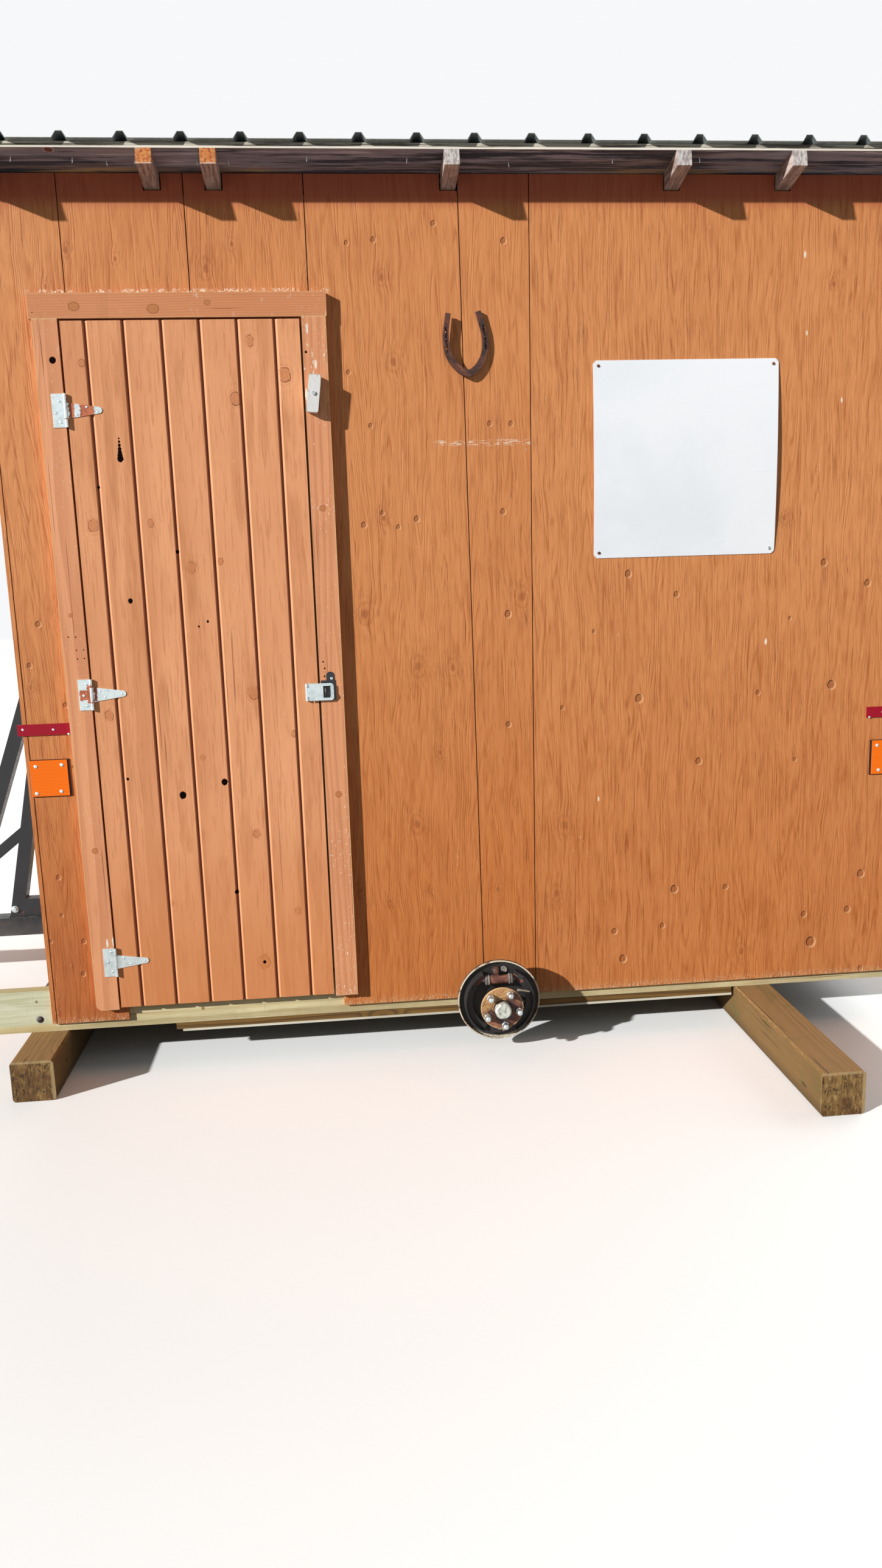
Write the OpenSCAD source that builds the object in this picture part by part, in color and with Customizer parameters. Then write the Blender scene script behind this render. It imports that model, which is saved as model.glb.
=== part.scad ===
// Ice fishing hut on a trailer frame, standing on two timbers.
// Drawn from the front left corner: x runs right along the front wall,
// y runs back into the hut and z runs up from the ground.

/* [Hut] */
// Length of the front wall, corner to corner
hut_len = 2785; // [2600:5:3200]
// Depth of the hut, front face to back face
hut_dep = 1830; // [1500:10:2400]
// Height of the front sheathing, from its bottom edge to the roof boards
front_h = 2480; // [2300:10:2600]
// Thickness of the wall plywood
panel_t = 12; // [9:1:18]
// Open joint between neighbouring sheets of plywood
seam_gap = 3; // [2:1:6]
// Width of a wall stud
stud_w = 38; // [30:1:45]
// Depth of a wall stud
stud_d = 64; // [50:1:90]
// Greatest spacing of the studs in the blind walls
stud_pitch = 610; // [400:10:700]

/* [Floor] */
// Height of the treated rails
rail_h = 137; // [120:1:185]
// Thickness of the treated rails and end headers
rail_t = 38; // [32:1:45]
// Length of rail that shows to the left of the hut
rail_out = 330; // [200:10:450]
// Width of rail that shows below the wall plywood
rail_lip = 28; // [15:1:40]
// Thickness of the floor plywood
deck_t = 16; // [12:1:19]
// Number of joists between the rails, an even number
joist_n = 4; // [2:2:6]
// Thickness of the old board under each rail
underboard_t = 22; // [16:1:25]
// Width of the old board under each rail
underboard_w = 89; // [60:1:140]
// Thickness of the pale strip under the old board
strip_t = 7; // [4:1:10]

/* [Timbers] */
// Side of the square timbers
timber_w = 127; // [100:1:160]
// How far the left timber sticks out in front
left_timber_out = 210; // [100:10:400]
// How far the right timber sticks out in front
right_timber_out = 650; // [100:10:700]
// How far both timbers stick out behind
timber_back = 200; // [120:10:300]
// Left side of the left timber, measured from the corner
left_timber_x = -76; // [-90:1:0]
// Left side of the right timber
right_timber_x = 2225; // [2100:5:2400]
// Edge bevel of the timbers
timber_bevel = 7; // [3:1:12]

/* [Roof] */
// Places of the inner rafters, as shares of the hut's length
rafter_share = [0.172, 0.233, 0.47, 0.7045, 0.8245];
// Rise of the roof over a run of 12
roof_rise = 2; // [1:0.5:3]
// Overhang of the rafter tails at front and back
eave_out = 115; // [60:5:250]
// Overhang of the roof boards at the two ends
gable_out = 100; // [40:5:200]
// Width of a rafter
rafter_w = 42; // [36:1:50]
// Depth of a rafter
rafter_d = 42; // [36:1:60]
// Thickness of the roof boards
roof_board_t = 16; // [12:1:25]
// Number of roof boards from front to back
roof_board_n = 14; // [10:1:18]
// Gap between roof boards
roof_board_gap = 4; // [2:1:8]
// Spacing of the ribs in the sheet metal
rib_pitch = 158; // [130:1:200]
// Height of the ribs
rib_h = 19; // [12:1:25]
// Width of a rib at its foot
rib_foot = 40; // [30:1:60]
// Width of a rib at its top
rib_top = 17; // [10:1:26]
// Thickness of the sheet metal
sheet_t = 1.2; // [0.8:0.1:2]
// How far the sheet metal runs past the boards
sheet_out = 16; // [5:1:30]

/* [Door] */
// Left edge of the door
door_x = 221; // [200:1:260]
// Width of the door
door_w = 668; // [620:1:720]
// Height of the door
door_h = 2038; // [1900:1:2060]
// Height of the door bottom above the bottom of the plywood
door_lift = 50; // [30:1:80]
// Thickness of the door planks
plank_t = 17; // [14:1:22]
// Cover width of a full plank
plank_w = 106; // [90:1:120]
// Width of the cut plank at the hinge side
first_plank = 68; // [50:1:90]
// Width of the groove between planks
groove_w = 15; // [6:1:18]
// Depth of the groove between planks
groove_d = 6; // [3:1:7]
// Gap around the door
door_gap = 6; // [5:1:9]
// Gap between the door and the plywood behind it
door_stand = 5; // [5:1:8]
// Width of the side casings
casing_w = 70; // [60:1:80]
// Height of the board over the door
header_h = 67; // [55:1:80]
// Thickness of the casings and of the board over the door
casing_t = 24; // [22:1:30]
// How far the board over the door runs past the left casing
header_left = 8; // [0:1:20]
// How far the board over the door runs past the right casing
header_right = 3; // [0:1:20]
// Thickness of the battens behind the planks
batten_t = 19; // [15:1:25]
// Width of the battens
batten_w = 89; // [70:1:110]

/* [Sheets] */
// Right edge of the corner sheet, which is the left side of the doorway
seam_a = 239; // [232:1:250]
// Joint between the two sheets over the door
seam_b = 585; // [500:5:650]
// Left edge of the middle sheet, which is the right side of the doorway
seam_c = 919; // [905:1:930]
// Joint right of the middle sheet, at its top
seam_d_top = 1356; // [1330:1:1370]
// Joint right of the middle sheet, at its bottom
seam_d_foot = 1378; // [1370:1:1390]
// Joint left of the last full sheet, at its top
seam_e_top = 1563; // [1550:1:1580]
// Joint left of the last full sheet, at its bottom
seam_e_foot = 1548; // [1535:1:1560]
// How much shorter the narrow sheet is at its bottom
short_sheet = 57; // [30:1:80]

/* [Hardware] */
// Heights of the three hinges above the bottom of the plywood
hinge_heights = [201, 1038, 1847];
// Height of a hinge leaf
hinge_h = 92; // [80:1:110]
// Width of a hinge leaf
hinge_leaf_w = 36; // [30:1:45]
// Thickness of the hinge plates
hinge_t = 2; // [1.5:0.1:3]
// Outer radius of the hinge barrels
barrel_r = 4.5; // [4:0.1:4.8]
// Radius of the hinge pins
pin_r = 2.5; // [2:0.1:3]
// Radial clearance of what turns on a pin
pin_fit = 0.05; // [0.02:0.01:0.1]
// Height of a hinge strap where it leaves the barrel
strap_h = 43; // [30:1:44]
// Length of a hinge strap from the barrel
strap_len = 100; // [80:1:130]
// Half the height of a hinge strap at its round tip
strap_tip = 9; // [6:1:12]
// Height of the hasp above the bottom of the plywood
hasp_z = 1020; // [900:5:1200]
// Height of the hasp
hasp_h = 52; // [46:1:60]
// Length of the hasp strap from its barrel
hasp_len = 82; // [80:1:90]
// Distance of the hasp barrel from the free edge of the door
hasp_inset = 35; // [32:1:40]
// Length of the wooden turn button
button_len = 105; // [90:1:130]
// Width of the turn button
button_w = 35; // [28:1:38]
// Thickness of the turn button
button_t = 21; // [15:1:25]
// Height of the turn button above the bottom of the plywood
button_z = 1880; // [1700:5:1950]
// Lean of the turn button
button_lean = 8; // [0:1:10]

/* [Fittings] */
// Side of the square reflectors
reflector = 110; // [80:1:120]
// Height of the left square reflector above the bottom of the plywood
reflector_z = 734; // [600:1:850]
// Length of the long reflector strips
strip_len = 158; // [120:1:200]
// Height of the long reflector strips
strip_h = 34; // [25:1:45]
// Height of the left strip above the bottom of the plywood
strip_z = 920; // [880:1:1000]
// Drop of the right hand reflectors below the left hand ones
reflector_drop = 55; // [0:1:80]
// Width of the sign plate
sign_w = 570; // [400:5:620]
// Height of the sign plate
sign_h = 575; // [400:5:620]
// Left edge of the sign plate
sign_x = 1748; // [1620:1:2000]
// Height of the sign plate's bottom above the bottom of the plywood
sign_z = 1393; // [1200:1:1500]
// How far the middle of the sign plate bows off the wall
sign_bow = 9; // [4:1:14]
// Width of the horseshoe
shoe_w = 136; // [110:1:150]
// Height of the horseshoe
shoe_h = 178; // [140:1:190]
// Middle of the horseshoe's toe along the wall
shoe_x = 1374; // [1300:1:1450]
// Height of the horseshoe's toe above the bottom of the plywood
shoe_z = 1925; // [1850:1:2000]
// Width of the horseshoe's bar at the toe
shoe_web = 20; // [16:1:26]
// Lean of the horseshoe to the left
shoe_lean = 4.3; // [0:0.1:10]
// Turn of the horseshoe, left side off the wall
shoe_turn = 5; // [1:0.5:8]

/* [Running gear] */
// Middle of the axle along the wall
axle_x = 1413; // [1400:1:1420]
// Height of the axle above the bottom of the plywood
axle_lift = 18; // [10:1:20]
// Side of the square axle tube
axle_w = 60; // [50:1:64]
// Radius of the brake backing plate
brake_r = 132; // [110:1:140]
// Distance of the backing plate's rim from the wall
brake_out = 85; // [75:1:110]
// Radius of the wheel hub flange
flange_r = 67; // [62:1:76]
// Distance of the hub flange's face from the wall
flange_out = 155; // [150:1:190]
// Radius of the circle of wheel studs
stud_circle = 53; // [50:1:55]
// Number of wheel studs
stud_n = 5; // [4:1:6]
// Radius of the grease cap
cap_r = 25.5; // [22:0.5:28]

/* [Drawbar] */
// Side of the square drawbar tube
drawbar_w = 72; // [60:1:80]
// Height of the drawbar's middle above the bottom of the plywood
drawbar_lift = 60; // [55:1:62]
// How far the drawbar tube runs out to the left
drawbar_out = 1060; // [800:10:1400]
// Height of the saddle between the drawbar and the mast
saddle_h = 72; // [50:1:90]
// Side of the square mast tubes
mast_w = 50; // [40:1:60]
// Wall of the drawbar tube
tube_wall = 5; // [3:0.5:8]
// Foot of the steep leg, left of the corner
steep_foot = 359; // [340:1:380]
// Foot of the raking leg, left of the corner
raking_foot = 560; // [500:1:650]
// Foot of the mast's tie, along the raking leg
tie_low = 210; // [150:5:300]
// Head of the mast's tie, along the steep leg
tie_high = 360; // [300:5:450]
// Top of the mast, left of the corner
mast_head_x = 108; // [90:1:130]
// Height of the mast's top above the bottom of the plywood
mast_head_z = 1306; // [1200:5:1400]

/* [Hidden] */

$fn = 48;
eps = 0.5;

// Heights, from the ground up
rail_z = timber_w;
wall_z = rail_z + rail_lip;
deck_z = rail_z + rail_h;
floor_z = deck_z + deck_t;
roof_z0 = wall_z + front_h;
pitch = atan(roof_rise / 12);
function roof_z(y) = roof_z0 - y * tan(pitch);
rafter_drop = rafter_d / cos(pitch);
plate_top = roof_z(panel_t + stud_d) - rafter_drop;
back_plate_top = roof_z(hut_dep - panel_t) - rafter_drop;

// Line in from the corners where the front and back sheets meet the end walls
lap = panel_t + seam_gap / 2;

// Door and its surround
door_z = wall_z + door_lift;
door_top = door_z + door_h;
door_right = door_x + door_w;
door_face = -door_stand - plank_t;
opening_top = door_top - 15;
casing_foot = wall_z + 44;
header_z = door_top + door_gap;
left_casing_x = door_x - door_gap - casing_w;
right_casing_x = door_right + door_gap;
batten_inset = 29;
batten_x = seam_a + 12;
batten_end = door_right - batten_inset;

// Door hinges, with the pin in front of the gap
pin_x = door_x - door_gap / 2;
pin_y = door_face - barrel_r - 1.5;
hinge_z = [for (h = hinge_heights) wall_z + h];
batten_z = [for (z = hinge_z) z - batten_w / 2];

// Hasp
hasp_x = door_right - hasp_inset;
hasp_pin_y = door_face - hinge_t - barrel_r + 0.5;
staple_x = hasp_x + 58;
staple_r = 3;
staple_reach = 18;
slot_h = 36;
slot_in = staple_x - hasp_x - staple_r - 5;
slot_w = 22;

// Turn button
button_x = right_casing_x + casing_w / 2 - 10;
button_gap = 5;
button_y = -casing_t - button_gap - button_t;

// Framing
jamb_left = seam_a - stud_w;
jamb_right = seam_c - stud_w;
stud_x = [panel_t, jamb_left, jamb_right, (seam_d_top + seam_d_foot - stud_w) / 2,
    (seam_e_top + seam_e_foot - stud_w) / 2, (seam_e_top + hut_len) / 2, hut_len - panel_t - stud_w];
lintel_h = 89;
frame_gap = 1;
rafter_end = panel_t + frame_gap;
rafter_x = concat([rafter_end], rafter_share * hut_len, [hut_len - rafter_end - rafter_w]);
back_bays = ceil((hut_len - 2 * panel_t - stud_w) / stud_pitch);
side_bays = ceil((hut_dep - 2 * panel_t - 2 * stud_d) / stud_pitch);
underboard_x = 380;

// Roof
slope_len = (hut_dep + 2 * eave_out) / cos(pitch);
roof_board_w = (slope_len - (roof_board_n - 1) * roof_board_gap) / roof_board_n;
roof_len = hut_len + 2 * gable_out;
sheet_len = roof_len + 2 * sheet_out;
rib_n = floor((sheet_len - rib_foot) / rib_pitch) + 1;
rib_start = (sheet_len - (rib_n - 1) * rib_pitch) / 2;

// Running gear
axle_z = wall_z + axle_lift;
joist_z = axle_z + axle_w / 2;
notch_gap = 5;
spindle_r = 16;
spindle_out = flange_out + 5;
hub_back = 100;
cap_len = 26;
cap_out = flange_out + cap_len + 5;
lug_h = 12;

// Drawbar
mid_y = hut_dep / 2;
drawbar_z = wall_z + drawbar_lift;
drawbar_top = drawbar_z + drawbar_w / 2;
cross_x = -70;
cross_h = 76;
saddle_run = 330;
saddle_rise = 60;
coupler_len = 150;
mast_trim = 30;

// Middle of the whole part in plan, where the origin stands
x_min = -drawbar_out - coupler_len;
x_max = hut_len + gable_out + sheet_out;
y_min = -max(left_timber_out, right_timber_out, cap_out);
y_max = hut_dep + max(timber_back, cap_out);
centre = [(x_min + x_max) / 2, (y_min + y_max) / 2, 0];

module in_frame() {
    translate(-centre) children();
}

// Mirror image behind the hut of something drawn in front of it
module at_back() {
    translate([0, hut_dep, 0]) mirror([0, 1, 0]) children();
}

// Mirror image at the right end of something drawn at the left end
module at_right() {
    translate([hut_len, 0, 0]) mirror([1, 0, 0]) children();
}

// Frame that slopes with the roof, with z up from the underside of the boards
module on_slope() {
    translate([0, 0, roof_z0]) rotate([-pitch, 0, 0]) children();
}

// Outline in x and z, given a thickness from y0 back to y0 + t
module upright(y0, t) {
    translate([0, y0 + t, 0]) rotate([90, 0, 0]) linear_extrude(t) children();
}

// Outline of one mast tube from p to q, both [x, z]
module mast_tube(p, q, w) {
    run = q - p;
    translate(p) rotate(atan2(run[1], run[0])) translate([0, -w / 2]) square([norm(run), w]);
}

module timber(x, out) {
    b = timber_bevel;
    w = timber_w;
    translate([x, hut_dep + timber_back, 0]) rotate([90, 0, 0])
        linear_extrude(out + hut_dep + timber_back)
            polygon([[b, 0], [w - b, 0], [w, b], [w, w - b], [w - b, w], [b, w], [0, w - b], [0, b]]);
}

module left_timber() {
    color("#7a6238") timber(left_timber_x, left_timber_out);
}

module right_timber() {
    color("#7a6238") timber(right_timber_x, right_timber_out);
}

// Treated rail with a notch that the axle passes through
module rail() {
    half = axle_w / 2 + notch_gap;
    difference() {
        translate([-rail_out, panel_t, rail_z]) cube([rail_out + hut_len, rail_t, rail_h]);
        translate([axle_x - half, 0, rail_z - eps])
            cube([2 * half, panel_t + rail_t + eps, axle_z + half - rail_z + eps]);
    }
}

module rails() {
    color("#d9cf9f") {
        rail();
        at_back() rail();
    }
}

module floor_headers() {
    y0 = panel_t + rail_t;
    hole = drawbar_w / 2 + notch_gap;
    color("#d9cf9f") {
        difference() {
            translate([panel_t, y0, rail_z]) cube([rail_t, hut_dep - 2 * y0, rail_h]);
            translate([0, mid_y - hole, drawbar_z - hole])
                cube([panel_t + rail_t + eps, 2 * hole, 2 * hole]);
        }
        at_right() translate([panel_t, y0, rail_z]) cube([rail_t, hut_dep - 2 * y0, rail_h]);
    }
}

// Joists lie on the axle and keep clear of the drawbar in the middle
module floor_joists() {
    x0 = panel_t + rail_t;
    bay = (hut_dep - 2 * x0) / (joist_n + 1);
    color("#c9b98a") for (i = [1 : joist_n])
        translate([x0, x0 + i * bay - stud_w / 2, joist_z])
            cube([hut_len - 2 * x0, stud_w, deck_z - joist_z]);
}

module floor_deck() {
    color("#b99a68") translate([panel_t, panel_t, deck_z])
        cube([hut_len - 2 * panel_t, hut_dep - 2 * panel_t, deck_t]);
}

module underboard() {
    translate([underboard_x, panel_t + 2, rail_z - underboard_t])
        cube([right_timber_x - 10 - underboard_x, underboard_w, underboard_t]);
}

module underboards() {
    color("#6b5426") {
        underboard();
        at_back() underboard();
    }
}

module edge_strip() {
    translate([underboard_x + 20, panel_t, rail_z - underboard_t - strip_t])
        cube([right_timber_x - 30 - underboard_x, underboard_w, strip_t]);
}

module edge_strips() {
    color("#d8d4c4") {
        edge_strip();
        at_back() edge_strip();
    }
}

// Side outline of the saddle, a little larger where a clearance is given
module saddle_outline(gap = 0) {
    offset(delta = gap) polygon([[-saddle_run - saddle_rise, drawbar_top],
        [-saddle_run, drawbar_top + saddle_h], [-eps, drawbar_top + saddle_h], [-eps, drawbar_top]]);
}

// Tube from the coupler to the axle, a cross channel between the rails and a saddle under the mast
module drawbar() {
    w = drawbar_w;
    y0 = panel_t + rail_t;
    color("#26282b") {
        difference() {
            translate([-drawbar_out, mid_y - w / 2, drawbar_z - w / 2])
                cube([drawbar_out + axle_x - axle_w / 2, w, w]);
            translate([-drawbar_out - eps, mid_y - w / 2 + tube_wall, drawbar_z - w / 2 + tube_wall])
                cube([drawbar_out + axle_x, w - 2 * tube_wall, w - 2 * tube_wall]);
        }
        for (y = [[y0, mid_y - w / 2], [mid_y + w / 2, hut_dep - y0]])
            translate([0, y[1], axle_z - cross_h / 2]) rotate([90, 0, 0]) linear_extrude(y[1] - y[0])
                translate([cross_x, 0]) difference() {
                    square([40, cross_h]);
                    translate([-eps, tube_wall]) square([40 - tube_wall + eps, cross_h - 2 * tube_wall]);
                }
        upright(mid_y - mast_w / 2, mast_w) saddle_outline();
    }
}

// Pressed socket that sits over a ball, with its sleeve round the drawbar
module coupler() {
    w = drawbar_w + 6;
    color("#3a3c40") translate([-drawbar_out, mid_y, drawbar_z]) {
        difference() {
            translate([-20, -w / 2, -w / 2]) cube([80, w, w]);
            translate([0, -drawbar_w / 2, -drawbar_w / 2]) cube([80 + eps, drawbar_w, drawbar_w]);
        }
        difference() {
            union() {
                translate([-coupler_len + 42, 0, 0]) cylinder(r = 42, h = w / 2);
                translate([-coupler_len + 42, -36, 0]) cube([coupler_len - 52, 72, w / 2]);
            }
            translate([-coupler_len + 42, 0, -eps]) cylinder(r = 27, h = w / 2 - 8);
        }
        translate([-coupler_len + 60, -8, w / 2]) cube([60, 16, 10]);
    }
}

module mast_legs() {
    head = [-mast_head_x, wall_z + mast_head_z];
    steep = [-steep_foot, drawbar_top];
    raking = [-raking_foot, drawbar_top];
    steep_dir = (head - steep) / norm(head - steep);
    raking_dir = (head - raking) / norm(head - raking);
    color("#26282b") upright(mid_y - mast_w / 2, mast_w) difference() {
        union() {
            mast_tube(steep - mast_trim * steep_dir, head - mast_trim * steep_dir, mast_w);
            mast_tube(raking - mast_trim * raking_dir, head - mast_trim * raking_dir, mast_w);
            mast_tube(raking + tie_low * raking_dir, steep + tie_high * steep_dir, 0.8 * mast_w);
        }
        translate([-raking_foot - 2 * mast_w, drawbar_top - 2 * mast_w])
            square([raking_foot + 2 * mast_w, 2 * mast_w]);
        saddle_outline(0.2);
    }
}

// Welded head of the mast and the plate that bolts to the end wall
module mast_bracket() {
    head_z = wall_z + mast_head_z;
    color("#26282b") {
        upright(mid_y - mast_w / 2 - 6, 5)
            polygon([[-mast_head_x - 60, head_z - 60], [-mast_head_x + 50, head_z - 60],
                [-8, head_z - 20], [-8, head_z + 40], [-mast_head_x - 10, head_z + 40]]);
        upright(mid_y + mast_w / 2 + 1, 5)
            polygon([[-mast_head_x - 60, head_z - 60], [-mast_head_x + 50, head_z - 60],
                [-8, head_z - 20], [-8, head_z + 40], [-mast_head_x - 10, head_z + 40]]);
        translate([-8, mid_y - 75, head_z - 60]) cube([8, 150, 140]);
        translate([-mast_head_x, mid_y - mast_w / 2 - 6, head_z + 5]) rotate([-90, 0, 0])
            cylinder(r = 10, h = mast_w + 12);
    }
}

// Axis of the front wheel hub, with z out from the wall
module at_hub() {
    translate([axle_x, 0, axle_z]) rotate([90, 0, 0]) children();
}

module spindle() {
    at_hub() translate([0, 0, 20]) cylinder(r = spindle_r, h = spindle_out - 20);
}

module axle() {
    half = axle_w / 2;
    color("#3b2f28") {
        translate([axle_x - half, -40, axle_z - half]) cube([axle_w, hut_dep + 80, axle_w]);
        spindle();
        at_back() spindle();
    }
}

// Backing plate with its rolled rim, two shoes, the wheel cylinder and the anchor
module brake() {
    base = brake_out - 15;
    shoe_r = brake_r - 20;
    cylinder_y = shoe_r - 40;
    bore = spindle_r + pin_fit;
    at_hub() {
        rotate_extrude() polygon([[bore, base - 30], [46, base - 30], [46, base], [brake_r - 4, base],
            [brake_r, base + 3], [brake_r, brake_out], [brake_r - 4, brake_out], [brake_r - 4, base + 4],
            [40, base + 4], [40, base - 26], [bore, base - 26]]);
        for (side = [0, 180]) rotate(side - 62) rotate_extrude(angle = 124)
            polygon([[shoe_r - 26, base + 17], [shoe_r - 5, base + 17], [shoe_r - 5, base + 4],
                [shoe_r, base + 4], [shoe_r, base + 36], [shoe_r - 5, base + 36], [shoe_r - 5, base + 21],
                [shoe_r - 26, base + 21]]);
        translate([-36, cylinder_y, base + 20]) rotate([0, 90, 0]) cylinder(r = 14, h = 72);
        translate([-22, cylinder_y - 14, base + 3]) cube([44, 28, 10]);
        translate([-30, -shoe_r + 8, base + 3]) cube([60, 20, 24]);
    }
}

module brakes() {
    color("#6e5a48") {
        brake();
        at_back() brake();
    }
}

// Hub shell that turns on the spindle, with its flange, cap, studs and nuts
module hub() {
    bore = spindle_r + pin_fit;
    at_hub() {
        difference() {
            union() {
                rotate_extrude() polygon([[bore, hub_back], [34, hub_back], [38, hub_back + 10],
                    [32, flange_out - 12], [40, flange_out - 8], [flange_r, flange_out - 8],
                    [flange_r, flange_out], [28, flange_out], [28, flange_out + 8],
                    [bore, flange_out + 8]]);
                translate([0, 0, flange_out + 4]) cylinder(r = cap_r, h = cap_len - 4);
                translate([0, 0, flange_out + cap_len]) cylinder(r1 = cap_r, r2 = cap_r - 5, h = 5);
            }
            translate([0, 0, hub_back - eps]) cylinder(r = bore, h = spindle_out + 2 - hub_back + eps);
        }
        for (i = [0 : stud_n - 1]) rotate(i * 360 / stud_n - 10) translate([stud_circle, 0, 0]) {
            translate([0, 0, flange_out - 14]) cylinder(r = 6, h = 40);
            translate([0, 0, flange_out]) cylinder(r = 11, h = lug_h, $fn = 6);
        }
    }
}

module front_hub() {
    color("#8a5a3a") hub();
}

module back_hub() {
    color("#8a5a3a") at_back() hub();
}

// Level framing: a sole plate round the floor that leaves the doorway free, a top plate
// at the front and the back, and the lintel over the doorway
module wall_plates() {
    x1 = hut_len - panel_t;
    y1 = hut_dep - panel_t - stud_d;
    side_y = panel_t + stud_d + frame_gap;
    color("#c8aa74") {
        translate([panel_t, panel_t, floor_z]) cube([jamb_left + stud_w - panel_t, stud_d, stud_w]);
        translate([jamb_right, panel_t, floor_z]) cube([x1 - jamb_right, stud_d, stud_w]);
        translate([panel_t, y1, floor_z]) cube([x1 - panel_t, stud_d, stud_w]);
        for (x = [panel_t, x1 - rafter_w])
            translate([x, side_y, floor_z]) cube([rafter_w, hut_dep - 2 * side_y, stud_w]);
        translate([panel_t, panel_t, plate_top - stud_w]) cube([x1 - panel_t, stud_d, stud_w]);
        translate([panel_t, y1, back_plate_top - stud_w]) cube([x1 - panel_t, stud_d, stud_w]);
        translate([seam_a, panel_t, opening_top]) cube([jamb_right - seam_a, stud_d, lintel_h]);
    }
}

module front_studs() {
    z0 = floor_z + stud_w;
    color("#c8aa74") for (x = stud_x)
        translate([x, panel_t, z0]) cube([stud_w, stud_d, plate_top - stud_w - z0]);
}

module back_studs() {
    z0 = floor_z + stud_w;
    run = hut_len - 2 * panel_t - stud_w;
    color("#c8aa74") for (i = [0 : back_bays]) translate([panel_t + i * run / back_bays,
        hut_dep - panel_t - stud_d, z0]) cube([stud_w, stud_d, back_plate_top - stud_w - z0]);
}

// Studs of an end wall, cut to the slope under the end rafter
module end_studs() {
    y0 = panel_t + stud_d;
    bay = (hut_dep - 2 * y0) / side_bays;
    z0 = floor_z + stud_w;
    drop = rafter_drop + frame_gap;
    for (i = [1 : side_bays - 1]) {
        y = y0 + i * bay - stud_w / 2;
        translate([panel_t, 0, 0]) rotate([90, 0, 90]) linear_extrude(rafter_w)
            polygon([[y, z0], [y + stud_w, z0], [y + stud_w, roof_z(y + stud_w) - drop],
                [y, roof_z(y) - drop]]);
    }
}

module side_studs() {
    color("#c8aa74") {
        end_studs();
        at_right() end_studs();
    }
}

// Front sheathing between two joints, each [top x, foot x], with notches for the rafter tails
module sheet(left, right, foot) {
    top = roof_z(panel_t) - 1;
    g = seam_gap / 2;
    difference() {
        upright(0, panel_t) polygon([[left[1] + g, foot], [right[1] - g, foot],
            [right[0] - g, top], [left[0] + g, top]]);
        for (x = rafter_x) translate([x - 4, -eps, roof_z0 - rafter_drop - 5])
            cube([rafter_w + 8, panel_t + 2 * eps, rafter_drop + 10]);
        translate([axle_x - axle_w / 2 - 2 * notch_gap, -eps, wall_z - eps])
            cube([axle_w + 4 * notch_gap, panel_t + 2 * eps, short_sheet + eps]);
    }
}

module corner_sheet() {
    color("#c07a4a") sheet([lap, lap], [seam_a, seam_a], wall_z);
}

module over_door_sheets() {
    color("#c07a4a") {
        sheet([seam_a, seam_a], [seam_b, seam_b], opening_top);
        sheet([seam_b, seam_b], [seam_c, seam_c], opening_top);
    }
}

module middle_sheet() {
    color("#c07a4a") sheet([seam_c, seam_c], [seam_d_top, seam_d_foot], wall_z);
}

module narrow_sheet() {
    color("#c07a4a") sheet([seam_d_top, seam_d_foot], [seam_e_top, seam_e_foot], wall_z + short_sheet);
}

module full_sheet() {
    end = hut_len - lap;
    color("#c07a4a") sheet([seam_e_top, seam_e_foot], [end, end], wall_z);
}

// End wall, lapped over the edges of the front and back sheets and slotted for the rails
module end_wall() {
    rotate([90, 0, 90]) linear_extrude(panel_t) difference() {
        polygon([[0, wall_z], [hut_dep, wall_z], [hut_dep, roof_z(hut_dep) - 1], [0, roof_z0 - 1]]);
        for (y = [panel_t, hut_dep - panel_t - rail_t - frame_gap])
            translate([y, wall_z - eps]) square([rail_t + frame_gap, rail_h - rail_lip + frame_gap + eps]);
    }
}

// The end wall at the left has a hole that the saddle and drawbar pass through
module left_wall() {
    hole = drawbar_w / 2 + notch_gap;
    color("#b87444") difference() {
        end_wall();
        translate([-eps, mid_y - hole, drawbar_z - hole]) cube([panel_t + 2 * eps, 2 * hole, 2 * hole]);
    }
}

module right_wall() {
    color("#b87444") at_right() end_wall();
}

// Three sheets across the back, notched over the rafters and round the axle
module back_wall() {
    n = 3;
    w = (hut_len - 2 * lap) / n;
    top = roof_z(hut_dep) - 1;
    color("#b87444") difference() {
        for (i = [0 : n - 1])
            translate([lap + i * w + seam_gap / 2, hut_dep - panel_t, wall_z])
                cube([w - seam_gap, panel_t, top - wall_z]);
        for (x = rafter_x) translate([x - 4, hut_dep - panel_t - eps, top - rafter_drop - 5])
            cube([rafter_w + 8, panel_t + 2 * eps, rafter_drop + 10]);
        translate([axle_x - axle_w / 2 - 2 * notch_gap, hut_dep - panel_t - eps, wall_z - eps])
            cube([axle_w + 4 * notch_gap, panel_t + 2 * eps, short_sheet + eps]);
    }
}

// The left casing has its lower outer corner rounded off
module side_casings() {
    r = 18;
    h = header_z - casing_foot;
    color("#c98a60") {
        upright(-casing_t, casing_t) translate([left_casing_x, casing_foot]) union() {
            translate([r, 0]) square([casing_w - r, h]);
            translate([0, r]) square([casing_w, h - r]);
            translate([r, r]) circle(r);
        }
        translate([right_casing_x, -casing_t, casing_foot]) cube([casing_w, casing_t, h]);
    }
}

module header_board() {
    x0 = left_casing_x - header_left;
    x1 = right_casing_x + casing_w + header_right;
    color("#c98a60") translate([x0, -casing_t, header_z]) cube([x1 - x0, casing_t, header_h]);
}

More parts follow.
